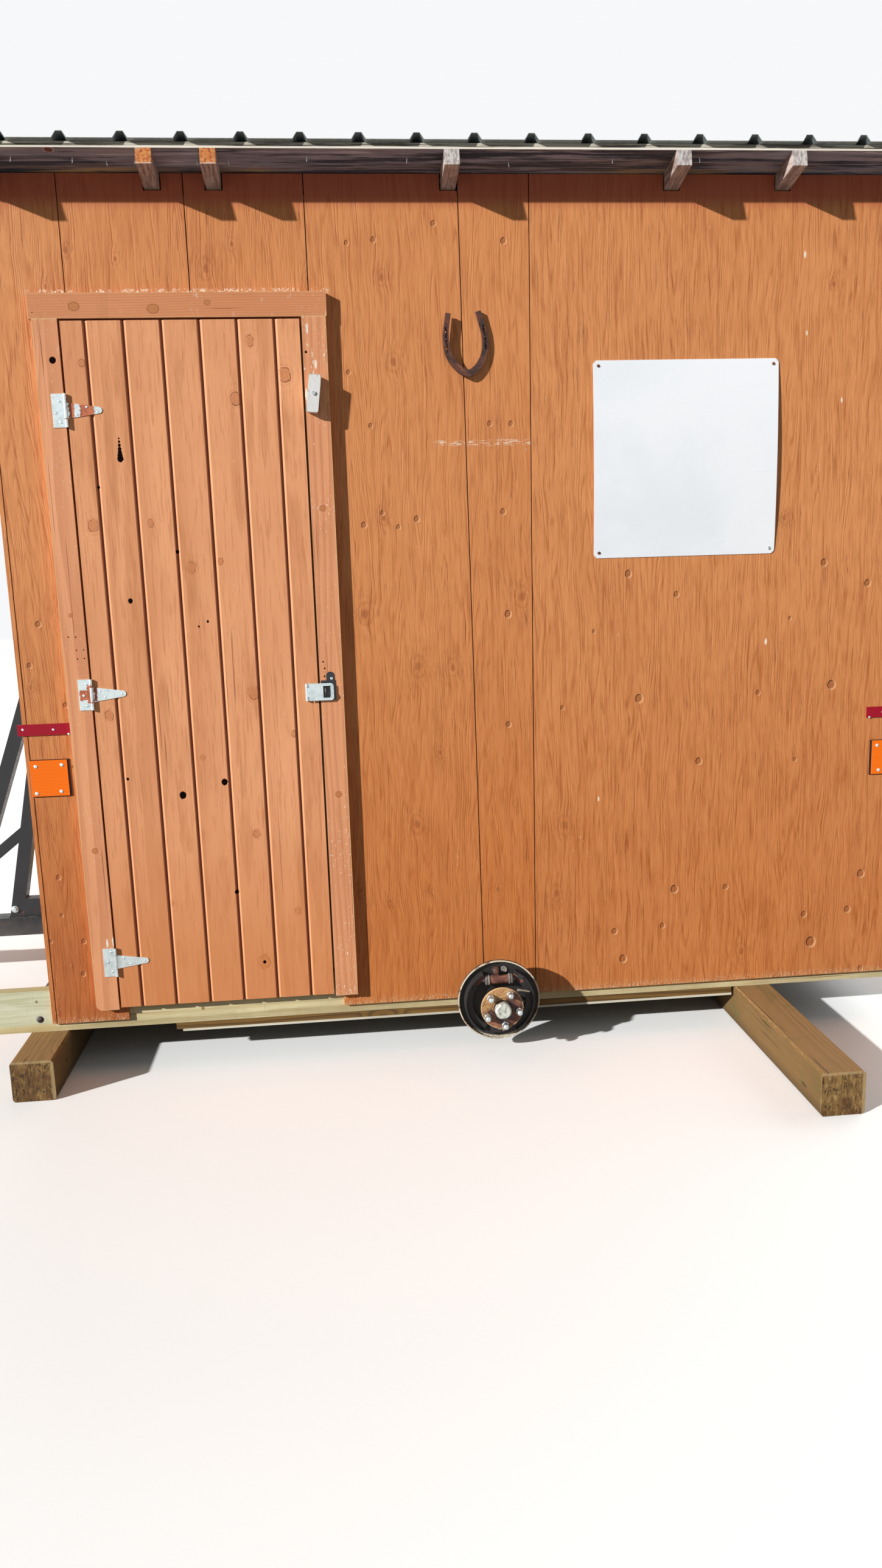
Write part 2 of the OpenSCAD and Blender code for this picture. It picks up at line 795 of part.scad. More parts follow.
// Tongue and groove planks, seen as one board with a groove at each joint
module door_planks() {
    joints = [for (x = first_plank; x < door_w - groove_w; x = x + plank_w) x];
    h = groove_w / 2;
    front = [for (x = joints) each [[x - h, 0], [x - 1, groove_d], [x + 1, groove_d], [x + h, 0]]];
    color("#cc8f66") translate([door_x, door_face, door_z]) linear_extrude(door_h)
        polygon(concat([[0, 0]], front, [[door_w, 0], [door_w, plank_t], [0, plank_t]]));
}

// Level battens behind the hinges, flat against the back of the planks
module door_battens() {
    color("#c98a60") for (z = batten_z)
        translate([batten_x, -door_stand, z]) cube([batten_end - batten_x, batten_t, batten_w]);
}

// Leaf screwed to the casing, two outer barrels and the pin
module hinge_leaves() {
    half = hinge_h / 2;
    mid = strap_h / 2 + 1;
    x0 = pin_x - 2 - hinge_leaf_w;
    color("#b9c2c9") for (z = hinge_z) translate([0, 0, z]) {
        translate([x0, -casing_t - hinge_t, -half]) cube([pin_x - 5 - x0, hinge_t, hinge_h]);
        for (z0 = [-half, mid]) {
            translate([pin_x, pin_y, z0]) cylinder(r = barrel_r, h = half - mid);
            translate([pin_x - 6, -casing_t - hinge_t - 0.6, z0]) cube([6, hinge_t, half - mid]);
        }
        translate([pin_x, pin_y, -half]) cylinder(r = pin_r, h = hinge_h);
    }
}

// Tapered straps that turn on the pins
module hinge_straps() {
    half = strap_h / 2;
    reach = strap_len - strap_tip;
    y0 = door_face - hinge_t;
    color("#b9c2c9") for (z = hinge_z) translate([0, 0, z]) difference() {
        union() {
            translate([pin_x, pin_y, -half]) cylinder(r = barrel_r, h = strap_h);
            translate([pin_x, y0 - 1, -half]) cube([8, hinge_t + 1, strap_h]);
            upright(y0, hinge_t) translate([pin_x, 0]) union() {
                polygon([[6, -half], [6, half], [reach, strap_tip], [reach, -strap_tip]]);
                translate([reach, 0]) circle(strap_tip);
            }
        }
        translate([pin_x, pin_y, -half - eps]) cylinder(r = pin_r + pin_fit, h = strap_h + 2 * eps);
    }
}

// Leaf on the door with the two outer barrels and the pin, hidden under the closed strap
module hasp_leaf() {
    half = hasp_h / 2;
    inner = half - 12;
    color("#c5ccd2") translate([hasp_x, 0, wall_z + hasp_z]) {
        translate([5, door_face - hinge_t, -half]) cube([24, hinge_t, hasp_h]);
        for (z0 = [-half, inner + 0.5]) {
            translate([0, hasp_pin_y, z0]) cylinder(r = barrel_r, h = half - inner - 0.5);
            translate([0, door_face - hinge_t, z0]) cube([6, hinge_t, half - inner - 0.5]);
        }
        translate([0, hasp_pin_y, -half]) cylinder(r = pin_r, h = hasp_h);
    }
}

// Swinging strap with the slot that drops over the staple
module hasp_strap() {
    half = hasp_h / 2;
    inner = half - 12;
    face = hasp_pin_y - barrel_r;
    color("#c5ccd2") translate([hasp_x, 0, wall_z + hasp_z]) difference() {
        union() {
            translate([0, hasp_pin_y, -inner]) cylinder(r = barrel_r, h = 2 * inner);
            translate([0, face, -inner]) cube([12, hinge_t, 2 * inner]);
            upright(face, hinge_t) union() {
                translate([8, -half]) square([hasp_len - 18, hasp_h]);
                translate([8, -half + 10]) square([hasp_len - 8, hasp_h - 20]);
                for (s = [-1, 1]) translate([hasp_len - 10, s * (half - 10)]) circle(10);
            }
        }
        translate([slot_in, face - eps, -slot_h / 2]) cube([slot_w, hinge_t + 2 * eps, slot_h]);
        translate([0, hasp_pin_y, -half]) cylinder(r = pin_r + pin_fit, h = hasp_h);
    }
}

// Black plate on the casing with the staple that a lock goes through
module hasp_staple() {
    leg = 10;
    y0 = -casing_t - 1.5;
    tip = hasp_pin_y - staple_reach;
    color("#2a2b2d") translate([staple_x, 0, wall_z + hasp_z]) {
        upright(y0, 1.5) union() {
            translate([-14, -26]) square([44, 60]);
            translate([3, 30]) square([24, 20]);
            translate([15, 48]) circle(12);
        }
        for (s = [-1, 1]) translate([0, y0 + eps, s * leg]) rotate([90, 0, 0])
            cylinder(r = staple_r, h = y0 + eps - tip - leg);
        translate([0, tip + leg, 0]) rotate([0, 90, 0]) rotate([0, 0, 180]) rotate_extrude(angle = 180)
            translate([leg, 0]) circle(staple_r);
    }
}

// Wooden block that turns on one screw, with its corners rounded
module turn_button() {
    r = 6;
    color("#c9c5bd") translate([button_x, 0, wall_z + button_z]) rotate([0, button_lean, 0])
        upright(button_y, button_t) difference() {
            union() {
                square([button_w - 2 * r, button_len], center = true);
                square([button_w, button_len - 2 * r], center = true);
                for (sx = [-1, 1], sz = [-1, 1])
                    translate([sx * (button_w / 2 - r), sz * (button_len / 2 - r)]) circle(r);
            }
            circle(pin_r + pin_fit);
        }
}

// Screw with its washer behind the block and its head in front
module button_screw() {
    color("#8c9096") translate([button_x, -casing_t, wall_z + button_z]) rotate([90, 0, 0]) {
        cylinder(r = 8, h = button_gap - eps);
        cylinder(r = pin_r, h = button_gap + button_t + 2 * eps);
        translate([0, 0, button_gap + button_t + eps]) cylinder(r = 5.5, h = 3);
    }
}

module rafters() {
    color("#a08a6c") on_slope() for (x = rafter_x)
        translate([x, -eave_out / cos(pitch), -rafter_d]) cube([rafter_w, slope_len, rafter_d]);
}

module roof_boards() {
    step = roof_board_w + roof_board_gap;
    color("#5b5652") on_slope() for (i = [0 : roof_board_n - 1])
        translate([-gable_out, -eave_out / cos(pitch) + i * step, 0])
            cube([roof_len, roof_board_w, roof_board_t]);
}

// Ribbed sheet metal, drawn as its edge and run down the slope
module metal_roofing() {
    half_foot = rib_foot / 2;
    half_top = rib_top / 2;
    feet = [for (i = [0 : rib_n - 1]) rib_start + i * rib_pitch];
    upper = concat([[0, sheet_t]], [for (x = feet) each [[x - half_foot, sheet_t],
        [x - half_top, rib_h], [x + half_top, rib_h], [x + half_foot, sheet_t]]], [[sheet_len, sheet_t]]);
    lower = concat([[sheet_len, 0]], [for (i = [len(feet) - 1 : -1 : 0]) let (x = feet[i])
        each [[x + half_foot - sheet_t, 0], [x + half_top - sheet_t / 2, rib_h - sheet_t],
        [x - half_top + sheet_t / 2, rib_h - sheet_t], [x - half_foot + sheet_t, 0]]], [[0, 0]]);
    color("#7d8b84") on_slope()
        translate([-gable_out - sheet_out, slope_len - eave_out / cos(pitch) + sheet_out, roof_board_t])
            rotate([90, 0, 0]) linear_extrude(slope_len + 2 * sheet_out) polygon(concat(upper, lower));
}

// Square reflector on a dark backing
module side_reflector() {
    translate([14, -3, wall_z + reflector_z - 2]) cube([reflector + 4, 3, reflector + 4]);
    translate([12, -6, wall_z + reflector_z]) cube([reflector, 3, reflector]);
}

module side_reflectors() {
    color("#f07a20") {
        side_reflector();
        translate([0, 0, -reflector_drop]) at_right() side_reflector();
    }
}

// Long strip that runs a little past the corner
module strip_reflector() {
    translate([-14, -4, wall_z + strip_z]) cube([strip_len, 4, strip_h]);
}

module strip_reflectors() {
    color("#96142c") {
        strip_reflector();
        translate([0, 0, -reflector_drop]) at_right() strip_reflector();
    }
}

// Plain plate with round corners, held at the corners and bowed off the wall between them
module sign_plate() {
    r = 14;
    t = 2;
    radius = sign_h * sign_h / (8 * sign_bow) + sign_bow / 2;
    mid_z = wall_z + sign_z + sign_h / 2;
    color("#e8edf0") intersection() {
        upright(-sign_bow - 10, sign_bow + 12) translate([sign_x, wall_z + sign_z]) union() {
            translate([r, 0]) square([sign_w - 2 * r, sign_h]);
            translate([0, r]) square([sign_w, sign_h - 2 * r]);
            for (x = [r, sign_w - r], z = [r, sign_h - r]) translate([x, z]) circle(r);
        }
        translate([sign_x - 1, radius - sign_bow, mid_z]) rotate([0, 90, 0]) difference() {
            cylinder(r = radius + t, h = sign_w + 2, $fn = 200);
            translate([0, 0, -1]) cylinder(r = radius, h = sign_w + 4, $fn = 200);
        }
    }
}

// Half of the horseshoe's middle line, as shares of half its width and of its height
shoe_half = [[0, 0], [0.324, 0.053], [0.61, 0.169], [0.765, 0.281], [0.846, 0.404], [0.86, 0.545],
    [0.824, 0.663], [0.75, 0.787], [0.654, 0.944]];

// Point between b and c of a smooth curve through a, b, c and d
function curve(a, b, c, d, t) = 0.5 * (2 * b + (c - a) * t + (2 * a - 5 * b + 4 * c - d) * pow(t, 2)
    + (3 * b - a - 3 * c + d) * pow(t, 3));

// Shoe with its open end up, creases in its face, nail holes and two nails that hold it
module horseshoe() {
    last = len(shoe_half) - 1;
    steps = 4;
    side = [for (p = shoe_half) [p[0] * shoe_w / 2, p[1] * shoe_h]];
    marks = concat([for (i = [last : -1 : 1]) [-side[i][0], side[i][1]]], side);
    line = concat([for (i = [0 : 2 * last - 1], k = [0 : steps - 1]) curve(marks[max(i - 1, 0)],
        marks[i], marks[i + 1], marks[min(i + 2, 2 * last)], k / steps)], [marks[2 * last]]);
    end = len(line) - 1;
    across = [for (i = [0 : end]) let (d = line[min(i + 1, end)] - line[max(i - 1, 0)])
        [-d[1], d[0]] / norm(d) * (shoe_web - 5 * abs(2 * i / end - 1)) / 2];
    thick = 10;
    stand = sin(shoe_turn) * shoe_w / 2 + eps;
    color("#5e3526") translate([shoe_x, 0, wall_z + shoe_z + shoe_web / 2]) {
        translate([0, -stand, 0]) rotate([0, 0, shoe_turn]) rotate([0, -shoe_lean, 0]) difference() {
            upright(-thick, thick)
                polygon(concat(line + across, [for (i = [end : -1 : 0]) line[i] - across[i]]));
            for (s = [-1, 1], i = [4 : 6]) translate([s * side[i][0], -thick / 2, side[i][1]]) {
                cube([4, thick + 2, 6], center = true);
                translate([0, -thick / 2 + 1, 0]) cube([6, 4, 24], center = true);
            }
        }
        for (s = [-1, 1]) {
            x = s * side[5][0] * cos(shoe_lean) - side[5][1] * sin(shoe_lean);
            z = s * side[5][0] * sin(shoe_lean) + side[5][1] * cos(shoe_lean);
            translate([x * cos(shoe_turn), 0, z]) rotate([90, 0, 0])
                cylinder(r = 2.8, h = stand - x * sin(shoe_turn) + thick + 1);
        }
    }
}

in_frame() left_timber();
in_frame() right_timber();
in_frame() rails();
in_frame() floor_headers();
in_frame() floor_joists();
in_frame() floor_deck();
in_frame() underboards();
in_frame() edge_strips();
in_frame() drawbar();
in_frame() coupler();
in_frame() mast_legs();
in_frame() mast_bracket();
in_frame() axle();
in_frame() brakes();
in_frame() front_hub();
in_frame() back_hub();
in_frame() wall_plates();
in_frame() front_studs();
in_frame() back_studs();
in_frame() side_studs();
in_frame() corner_sheet();
in_frame() over_door_sheets();
in_frame() middle_sheet();
in_frame() narrow_sheet();
in_frame() full_sheet();
in_frame() left_wall();
in_frame() right_wall();
in_frame() back_wall();
in_frame() side_casings();
in_frame() header_board();
in_frame() door_planks();
in_frame() door_battens();
in_frame() hinge_leaves();
in_frame() hinge_straps();
in_frame() hasp_leaf();
in_frame() hasp_strap();
in_frame() hasp_staple();
in_frame() turn_button();
in_frame() button_screw();
in_frame() rafters();
in_frame() roof_boards();
in_frame() metal_roofing();
in_frame() side_reflectors();
in_frame() strip_reflectors();
in_frame() sign_plate();
in_frame() horseshoe();
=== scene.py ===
import math
import bpy
import bmesh
from mathutils import Matrix, Vector


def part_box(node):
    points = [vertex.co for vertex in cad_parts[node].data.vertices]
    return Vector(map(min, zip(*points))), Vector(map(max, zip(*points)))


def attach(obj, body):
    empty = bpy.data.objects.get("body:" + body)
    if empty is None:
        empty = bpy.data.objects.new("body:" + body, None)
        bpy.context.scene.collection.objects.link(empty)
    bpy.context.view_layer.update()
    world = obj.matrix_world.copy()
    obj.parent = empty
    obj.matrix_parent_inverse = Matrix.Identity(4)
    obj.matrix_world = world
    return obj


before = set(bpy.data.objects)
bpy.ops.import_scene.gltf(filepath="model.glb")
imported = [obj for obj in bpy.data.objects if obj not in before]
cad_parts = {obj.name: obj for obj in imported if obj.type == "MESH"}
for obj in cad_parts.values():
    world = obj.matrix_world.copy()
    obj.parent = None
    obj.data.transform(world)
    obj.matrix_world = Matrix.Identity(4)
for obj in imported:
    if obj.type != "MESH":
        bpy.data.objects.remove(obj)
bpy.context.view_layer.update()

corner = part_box("left_wall")[0]  # front left foot of the plywood
wallFoot = corner.z
current = {"tree": None}  # node tree being built


def hut(x, y, z):  # millimetres right of the corner, behind the front, above the ground
    return Vector((corner.x + x / 1000, corner.y + y / 1000, z / 1000))


def onWall(x, z, out=0.0):  # millimetres along the front wall and above the foot of its plywood
    return hut(x, -out, wallFoot * 1000 + z)


# node helpers
def tone(red, green, blue):
    parts = [part / 255 for part in (red, green, blue)]
    linear = [p / 12.92 if p <= 0.04045 else ((p + 0.055) / 1.055) ** 2.4 for p in parts]
    return (*linear, 1.0)


def feed(socket, value):
    if isinstance(value, bpy.types.NodeSocket):
        current["tree"].links.new(value, socket)
    else:
        socket.default_value = value


def put(kind, inputs=None, **settings):
    node = current["tree"].nodes.new("ShaderNode" + kind)
    for key, value in settings.items():
        setattr(node, key, value)
    for key, value in (inputs or {}).items():
        feed(node.inputs[key], value)
    return node


def calc(operation, *values):
    node = put("Math", dict(enumerate(values)), operation=operation)
    return node.outputs[0]


def chain(operation, values):
    result = values[0]
    for value in values[1:]:
        result = calc(operation, result, value)
    return result


def times(*values):
    return chain("MULTIPLY", values)


def plus(*values):
    return chain("ADD", values)


def minus(*values):
    return chain("SUBTRACT", values)


def divide(*values):
    return chain("DIVIDE", values)


def least(*values):
    return chain("MINIMUM", values)


def either(*masks):  # strongest of masks
    return chain("MAXIMUM", masks)


def fold(value):  # up and down between 0 and 1
    return calc("PINGPONG", value, 1.0)


def vec(operation, *values):
    node = put("VectorMath", dict(enumerate(values)), operation=operation)
    return node.outputs["Value" if operation == "LENGTH" else "Vector"]


def span(value, low, high, start=0.0, end=1.0):
    node = put(
        "MapRange", {"Value": value, "From Min": low, "From Max": high, "To Min": start, "To Max": end},
        interpolation_type="SMOOTHSTEP")
    return node.outputs["Result"]


def layer(under, over, *masks):  # one colour over another, through the product of masks
    node = put("Mix", data_type="RGBA")
    for index, value in ((0, times(*masks)), (6, under), (7, over)):
        feed(node.inputs[index], tone(*value) if isinstance(value, tuple) else value)
    return node.outputs[2]


def coats(colour, *layers):  # (tone, masks) laid one after another
    for coat in layers:
        colour = layer(colour, *coat)
    return colour


def stretch(vector, scale, move=(0, 0, 0), turn=(0, 0, 0)):
    return put("Mapping", {"Vector": vector, "Scale": scale, "Location": move, "Rotation": turn}).outputs[0]


def noise(vector, detail=2.0, roughness=0.5, scale=1.0, distortion=0.0):
    return put(
        "TexNoise",
        {
            "Vector": vector, "Scale": scale, "Detail": detail, "Roughness": roughness,
            "Distortion": distortion}).outputs["Fac"]


def drawn(vector, scale, detail=2.0, roughness=0.5, move=(0, 0, 0), turn=(0, 0, 0)):  # stretched noise
    return noise(stretch(vector, scale, move, turn), detail, roughness)


def axes(vector):
    return put("SeparateXYZ", {"Vector": vector}).outputs[:3]


def pack(x, y, z):
    return put("CombineXYZ", {"X": x, "Y": y, "Z": z}).outputs[0]


def within(value, low, high, soft=0.002):  # 1 between low and high
    return times(span(value, low - soft, low + soft), span(value, high + soft, high - soft))


# shared node groups
def startGroup(name, inputs, outputs):  # every group takes a vector too
    group = bpy.data.node_groups.new(name, "ShaderNodeTree")
    current["tree"] = group
    group.interface.new_socket(name="Vector", in_out="INPUT", socket_type="NodeSocketVector")
    for label, value in inputs.items():
        kind = "NodeSocketVector" if isinstance(value, tuple) else "NodeSocketFloat"
        group.interface.new_socket(name=label, in_out="INPUT", socket_type=kind).default_value = value
    for label in outputs.split():
        kind = "NodeSocketColor" if label == "Colour" else "NodeSocketFloat"
        group.interface.new_socket(name=label, in_out="OUTPUT", socket_type=kind)
    return group.nodes.new("NodeGroupInput").outputs


def endGroup(**results):
    leave = current["tree"].nodes.new("NodeGroupOutput")
    for key, value in results.items():
        feed(leave.inputs[key], value)
    return current["tree"]


def place(group, vector, **inputs):
    node = current["tree"].nodes.new("ShaderNodeGroup")
    node.node_tree = group
    for key, value in {"Vector": vector, **inputs}.items():
        feed(node.inputs[key], value)
    return node.outputs


def makeVeneer():  # rotary-cut plywood face, grain upright, on any wall
    start = startGroup("veneer grain", {"Seed": 0.0, "Knots": 0.5}, "Streaks Figure Checks Knots Height")
    x, y, z = axes(start["Vector"])
    across = plus(x, y, times(start["Seed"], 3.7))
    spot = put(
        "TexVoronoi",
        {"Vector": pack(times(across, 6.4), times(z, 4.3), 0.0), "Scale": 1.0, "Randomness": 0.95},
        voronoi_dimensions="2D")
    red, green = axes(spot.outputs["Color"])[:2]
    size = calc("MULTIPLY_ADD", red, 0.055, 0.03)
    uneven = noise(pack(times(across, 75), times(z, 48), 0.0), 2.0)
    near = divide(plus(spot.outputs["Distance"], times(minus(uneven, 0.5), 0.05)), size)
    present = calc("LESS_THAN", green, start["Knots"])
    pull = times(span(near, 4.5, 0.6), present)  # grain swerves round a knot
    sway = noise(pack(times(across, 2.2), times(z, 3.2), 0.0), 2.0)
    swayed = plus(across, times(minus(sway, 0.5), 0.03))
    swayed = plus(swayed, times(pull, 0.006))

    def grain(acrossScale, alongScale, detail, roughness):
        return noise(pack(times(swayed, acrossScale), times(z, alongScale), 0.0), detail, roughness)
    fine = grain(390, 16, 2.0, 0.6)
    broad = grain(95, 4.0, 2.0, 0.55)
    swirl = span(fold(times(near, 1.7)), 0.5, 1.0)
    dashes = times(span(grain(320, 26, 2.0, 0.6), 0.54, 0.64), span(near, 6.0, 2.0), 0.7)
    core = span(near, 0.9, 0.4, 0.0, 0.8)
    knots = times(either(core, times(swirl, span(near, 2.8, 1.0), 0.65), dashes), present)
    lines = fold(times(grain(9.5, 0.5, 2.0, 0.45), 58))
    fading = span(grain(34, 4.5, 2.0, 0.5), 0.34, 0.66)
    combed = times(span(lines, 0.45, 1.0), fading)
    streaks = plus(times(combed, 0.36), span(fine, 0.4, 0.68, 0.0, 0.42))
    streaks = plus(streaks, span(broad, 0.42, 0.66, 0.0, 0.34))
    waves = times(grain(3.4, 0.6, 1.5, 0.4), 30)
    figure = span(fold(waves), 0.55, 1.0)
    checks = times(span(grain(210, 7.0, 3.0, 0.62), 0.61, 0.68), span(grain(3.5, 1.6, 1.0, 0.5), 0.38, 0.6))
    height = minus(times(fine, 0.3), times(combed, 0.5), plus(times(checks, 0.8), times(knots, 0.35)))
    return endGroup(Streaks=streaks, Figure=figure, Checks=checks, Knots=knots, Height=height)


def makeLumber():  # sawn board with its grain along Z
    start = startGroup(
        "lumber grain", {"Seed": 0.0, "Ring": 0.004, "Knots": 0.4}, "Rings Fibre Checks Knots Height")
    lot = put("TexWhiteNoise", {"W": start["Seed"]}, noise_dimensions="1D")
    red, green = axes(lot.outputs["Color"])[:2]
    x, y = axes(start["Vector"])[:2]
    moved = put(
        "VectorMath", {0: lot.outputs["Color"], 1: (7, 7, 7), 2: start["Vector"]},
        operation="MULTIPLY_ADD").outputs[0]
    mx, my, mz = axes(moved)
    bow = noise(pack(times(mz, 0.9), red, 0.0), 1.0)
    pithX = plus(times(minus(red, 0.5), 0.14), times(minus(bow, 0.5), 0.09))
    pithY = calc("MULTIPLY_ADD", green, 0.09, 0.02)
    spot = put(
        "TexVoronoi",
        {"Vector": pack(times(plus(mx, my), 8.0), times(mz, 2.6), 0.0), "Scale": 1.0, "Randomness": 1.0},
        voronoi_dimensions="2D")
    spotRed, spotGreen = axes(spot.outputs["Color"])[:2]
    near = divide(spot.outputs["Distance"], calc("MULTIPLY_ADD", spotRed, 0.07, 0.03))
    present = calc("LESS_THAN", spotGreen, start["Knots"])
    knots = times(span(near, 1.1, 0.6), present)
    pull = times(span(near, 5.0, 0.8), present)
    wobble = drawn(moved, (9, 9, 0.9), 2.0)
    radial = vec("LENGTH", pack(minus(x, pithX), plus(y, pithY), 0.0))
    radial = plus(radial, times(wobble, 0.012))
    radial = plus(radial, times(pull, 0.009))
    turns = calc("FRACT", divide(radial, start["Ring"]))
    rings = times(span(turns, 0.25, 0.9), span(turns, 1.0, 0.93))
    fibre = drawn(moved, (430, 430, 9), 2.0, 0.6)
    checks = times(span(drawn(moved, (120, 120, 1.7), 2.0, 0.6), 0.64, 0.7), span(
        drawn(moved, (3, 3, 0.8), 1.0), 0.45, 0.6))
    height = minus(plus(times(fibre, 0.35), times(rings, 0.25)), times(checks, 0.9))
    return endGroup(Rings=rings, Fibre=fibre, Checks=checks, Knots=knots, Height=height)


def makeEdgeRub():  # worn arrises of a boxy piece, from its own lowest and highest corners
    start = startGroup("edge rub", {"Low": (0, 0, 0), "High": (1, 1, 1), "Width": 0.004}, "Mask")
    gap = vec(
        "MINIMUM", vec("SUBTRACT", start["Vector"], start["Low"]),
        vec("SUBTRACT", start["High"], start["Vector"]))
    x, y, z = axes(gap)
    second = either(least(x, y), least(either(x, y), z))
    ragged = times(noise(start["Vector"], 4.0, 0.65, scale=34.0), start["Width"])
    return endGroup(Mask=span(minus(second, times(ragged, 1.2)), 0.0006, -0.0006))


def makeRust():
    start = startGroup("rust", {"Amount": 0.3, "Scale": 12.0}, "Mask Colour Height")
    coarse = noise(start["Vector"], 5.0, 0.68, scale=start["Scale"])
    pits = noise(start["Vector"], 3.0, 0.7, scale=420.0)
    edge = minus(0.78, times(start["Amount"], 0.56))
    mask = span(plus(coarse, times(minus(pits, 0.5), 0.12)), edge, plus(edge, 0.09))
    patches = noise(start["Vector"], 4.0, 0.6, scale=60.0)
    colour = layer((74, 42, 30), (139, 82, 48), span(patches, 0.35, 0.65))
    colour = layer(colour, (48, 33, 28), span(pits, 0.55, 0.75))
    return endGroup(Mask=mask, Colour=colour, Height=pits)


def makeGrime():  # blotchy dirt, thicker near a given height
    start = startGroup("grime", {"Amount": 0.3, "Foot": 0.0, "Reach": 0.3}, "Mask")
    z = axes(start["Vector"])[2]
    low = span(z, plus(start["Foot"], start["Reach"]), start["Foot"])
    blotch = noise(start["Vector"], 5.0, 0.62, scale=5.5)
    total = plus(times(blotch, 0.7), times(low, 0.35))
    return endGroup(Mask=times(span(total, 0.4, 0.8), start["Amount"]))


def makeChips():  # flecks of lifted paint, drawn out along Z
    start = startGroup("paint chips", {"Amount": 0.3, "Length": 1.0}, "Mask")
    pulled = vec("MULTIPLY", start["Vector"], pack(210.0, 210.0, divide(90.0, start["Length"])))
    flecks = noise(pulled, 3.0, 0.62)
    zones = noise(start["Vector"], 2.0, 0.5, scale=4.2)
    edge = minus(0.76, times(start["Amount"], 0.22))
    total = plus(times(flecks, 0.75), times(zones, 0.28))
    return endGroup(Mask=span(total, edge, plus(edge, 0.03)))


veneerGrain = makeVeneer()
lumberGrain = makeLumber()
edgeRub = makeEdgeRub()
rustGroup = makeRust()
grimeGroup = makeGrime()
chipGroup = makeChips()
print("groups ready")


# material helpers
def principled():
    return current["tree"].nodes["Principled BSDF"].inputs


def newFinish(name, roughness=0.6, metallic=0.0, **sockets):
    material = bpy.data.materials.new(name)
    material.use_nodes = True
    current["tree"] = material.node_tree
    for key, value in {"Roughness": roughness, "Metallic": metallic, **sockets}.items():
        principled()[key.replace("_", " ")].default_value = value
    return material, put("TexCoord").outputs["Object"]


def paint(colour, roughness, height, depth, strength):
    shader = principled()
    feed(shader["Base Color"], colour)
    feed(shader["Roughness"], roughness)
    raised = put("Bump", {"Height": height, "Distance": depth, "Strength": strength})
    feed(shader["Normal"], raised.outputs[0])


def roughen(where, distance, amount, scale):  # makes a round mark uneven
    return calc("MULTIPLY_ADD", minus(noise(where, 2.0, 0.6, scale=scale), 0.5), amount, distance)


def nearestMark(where, marks, tall=1.0):  # distance to the nearest round mark, in its own radii
    found = []
    for x, z, radius in marks:  # millimetres on the wall
        shape = (1000 / radius, 0.0, 1000 / (radius * tall))
        found.append(vec("LENGTH", vec("MULTIPLY", vec("SUBTRACT", where, tuple(onWall(x, z))), shape)))
    return least(*found)


def dress(names, material):
    for name in names.split():
        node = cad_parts[name]
        node.data.materials.clear()
        node.data.materials.append(material)


# stained plywood
plyLook = {
    "upper": (208, 132, 76), "lower": (184, 95, 16), "dark": (146, 74, 34), "light": (222, 158, 104),
    "check": (92, 44, 26), "knot": (140, 74, 34), "paintedShading": (168, 76, 56), "bare": (206, 172, 122),
    "bareDark": (158, 118, 72), "scrape": (232, 214, 190)}


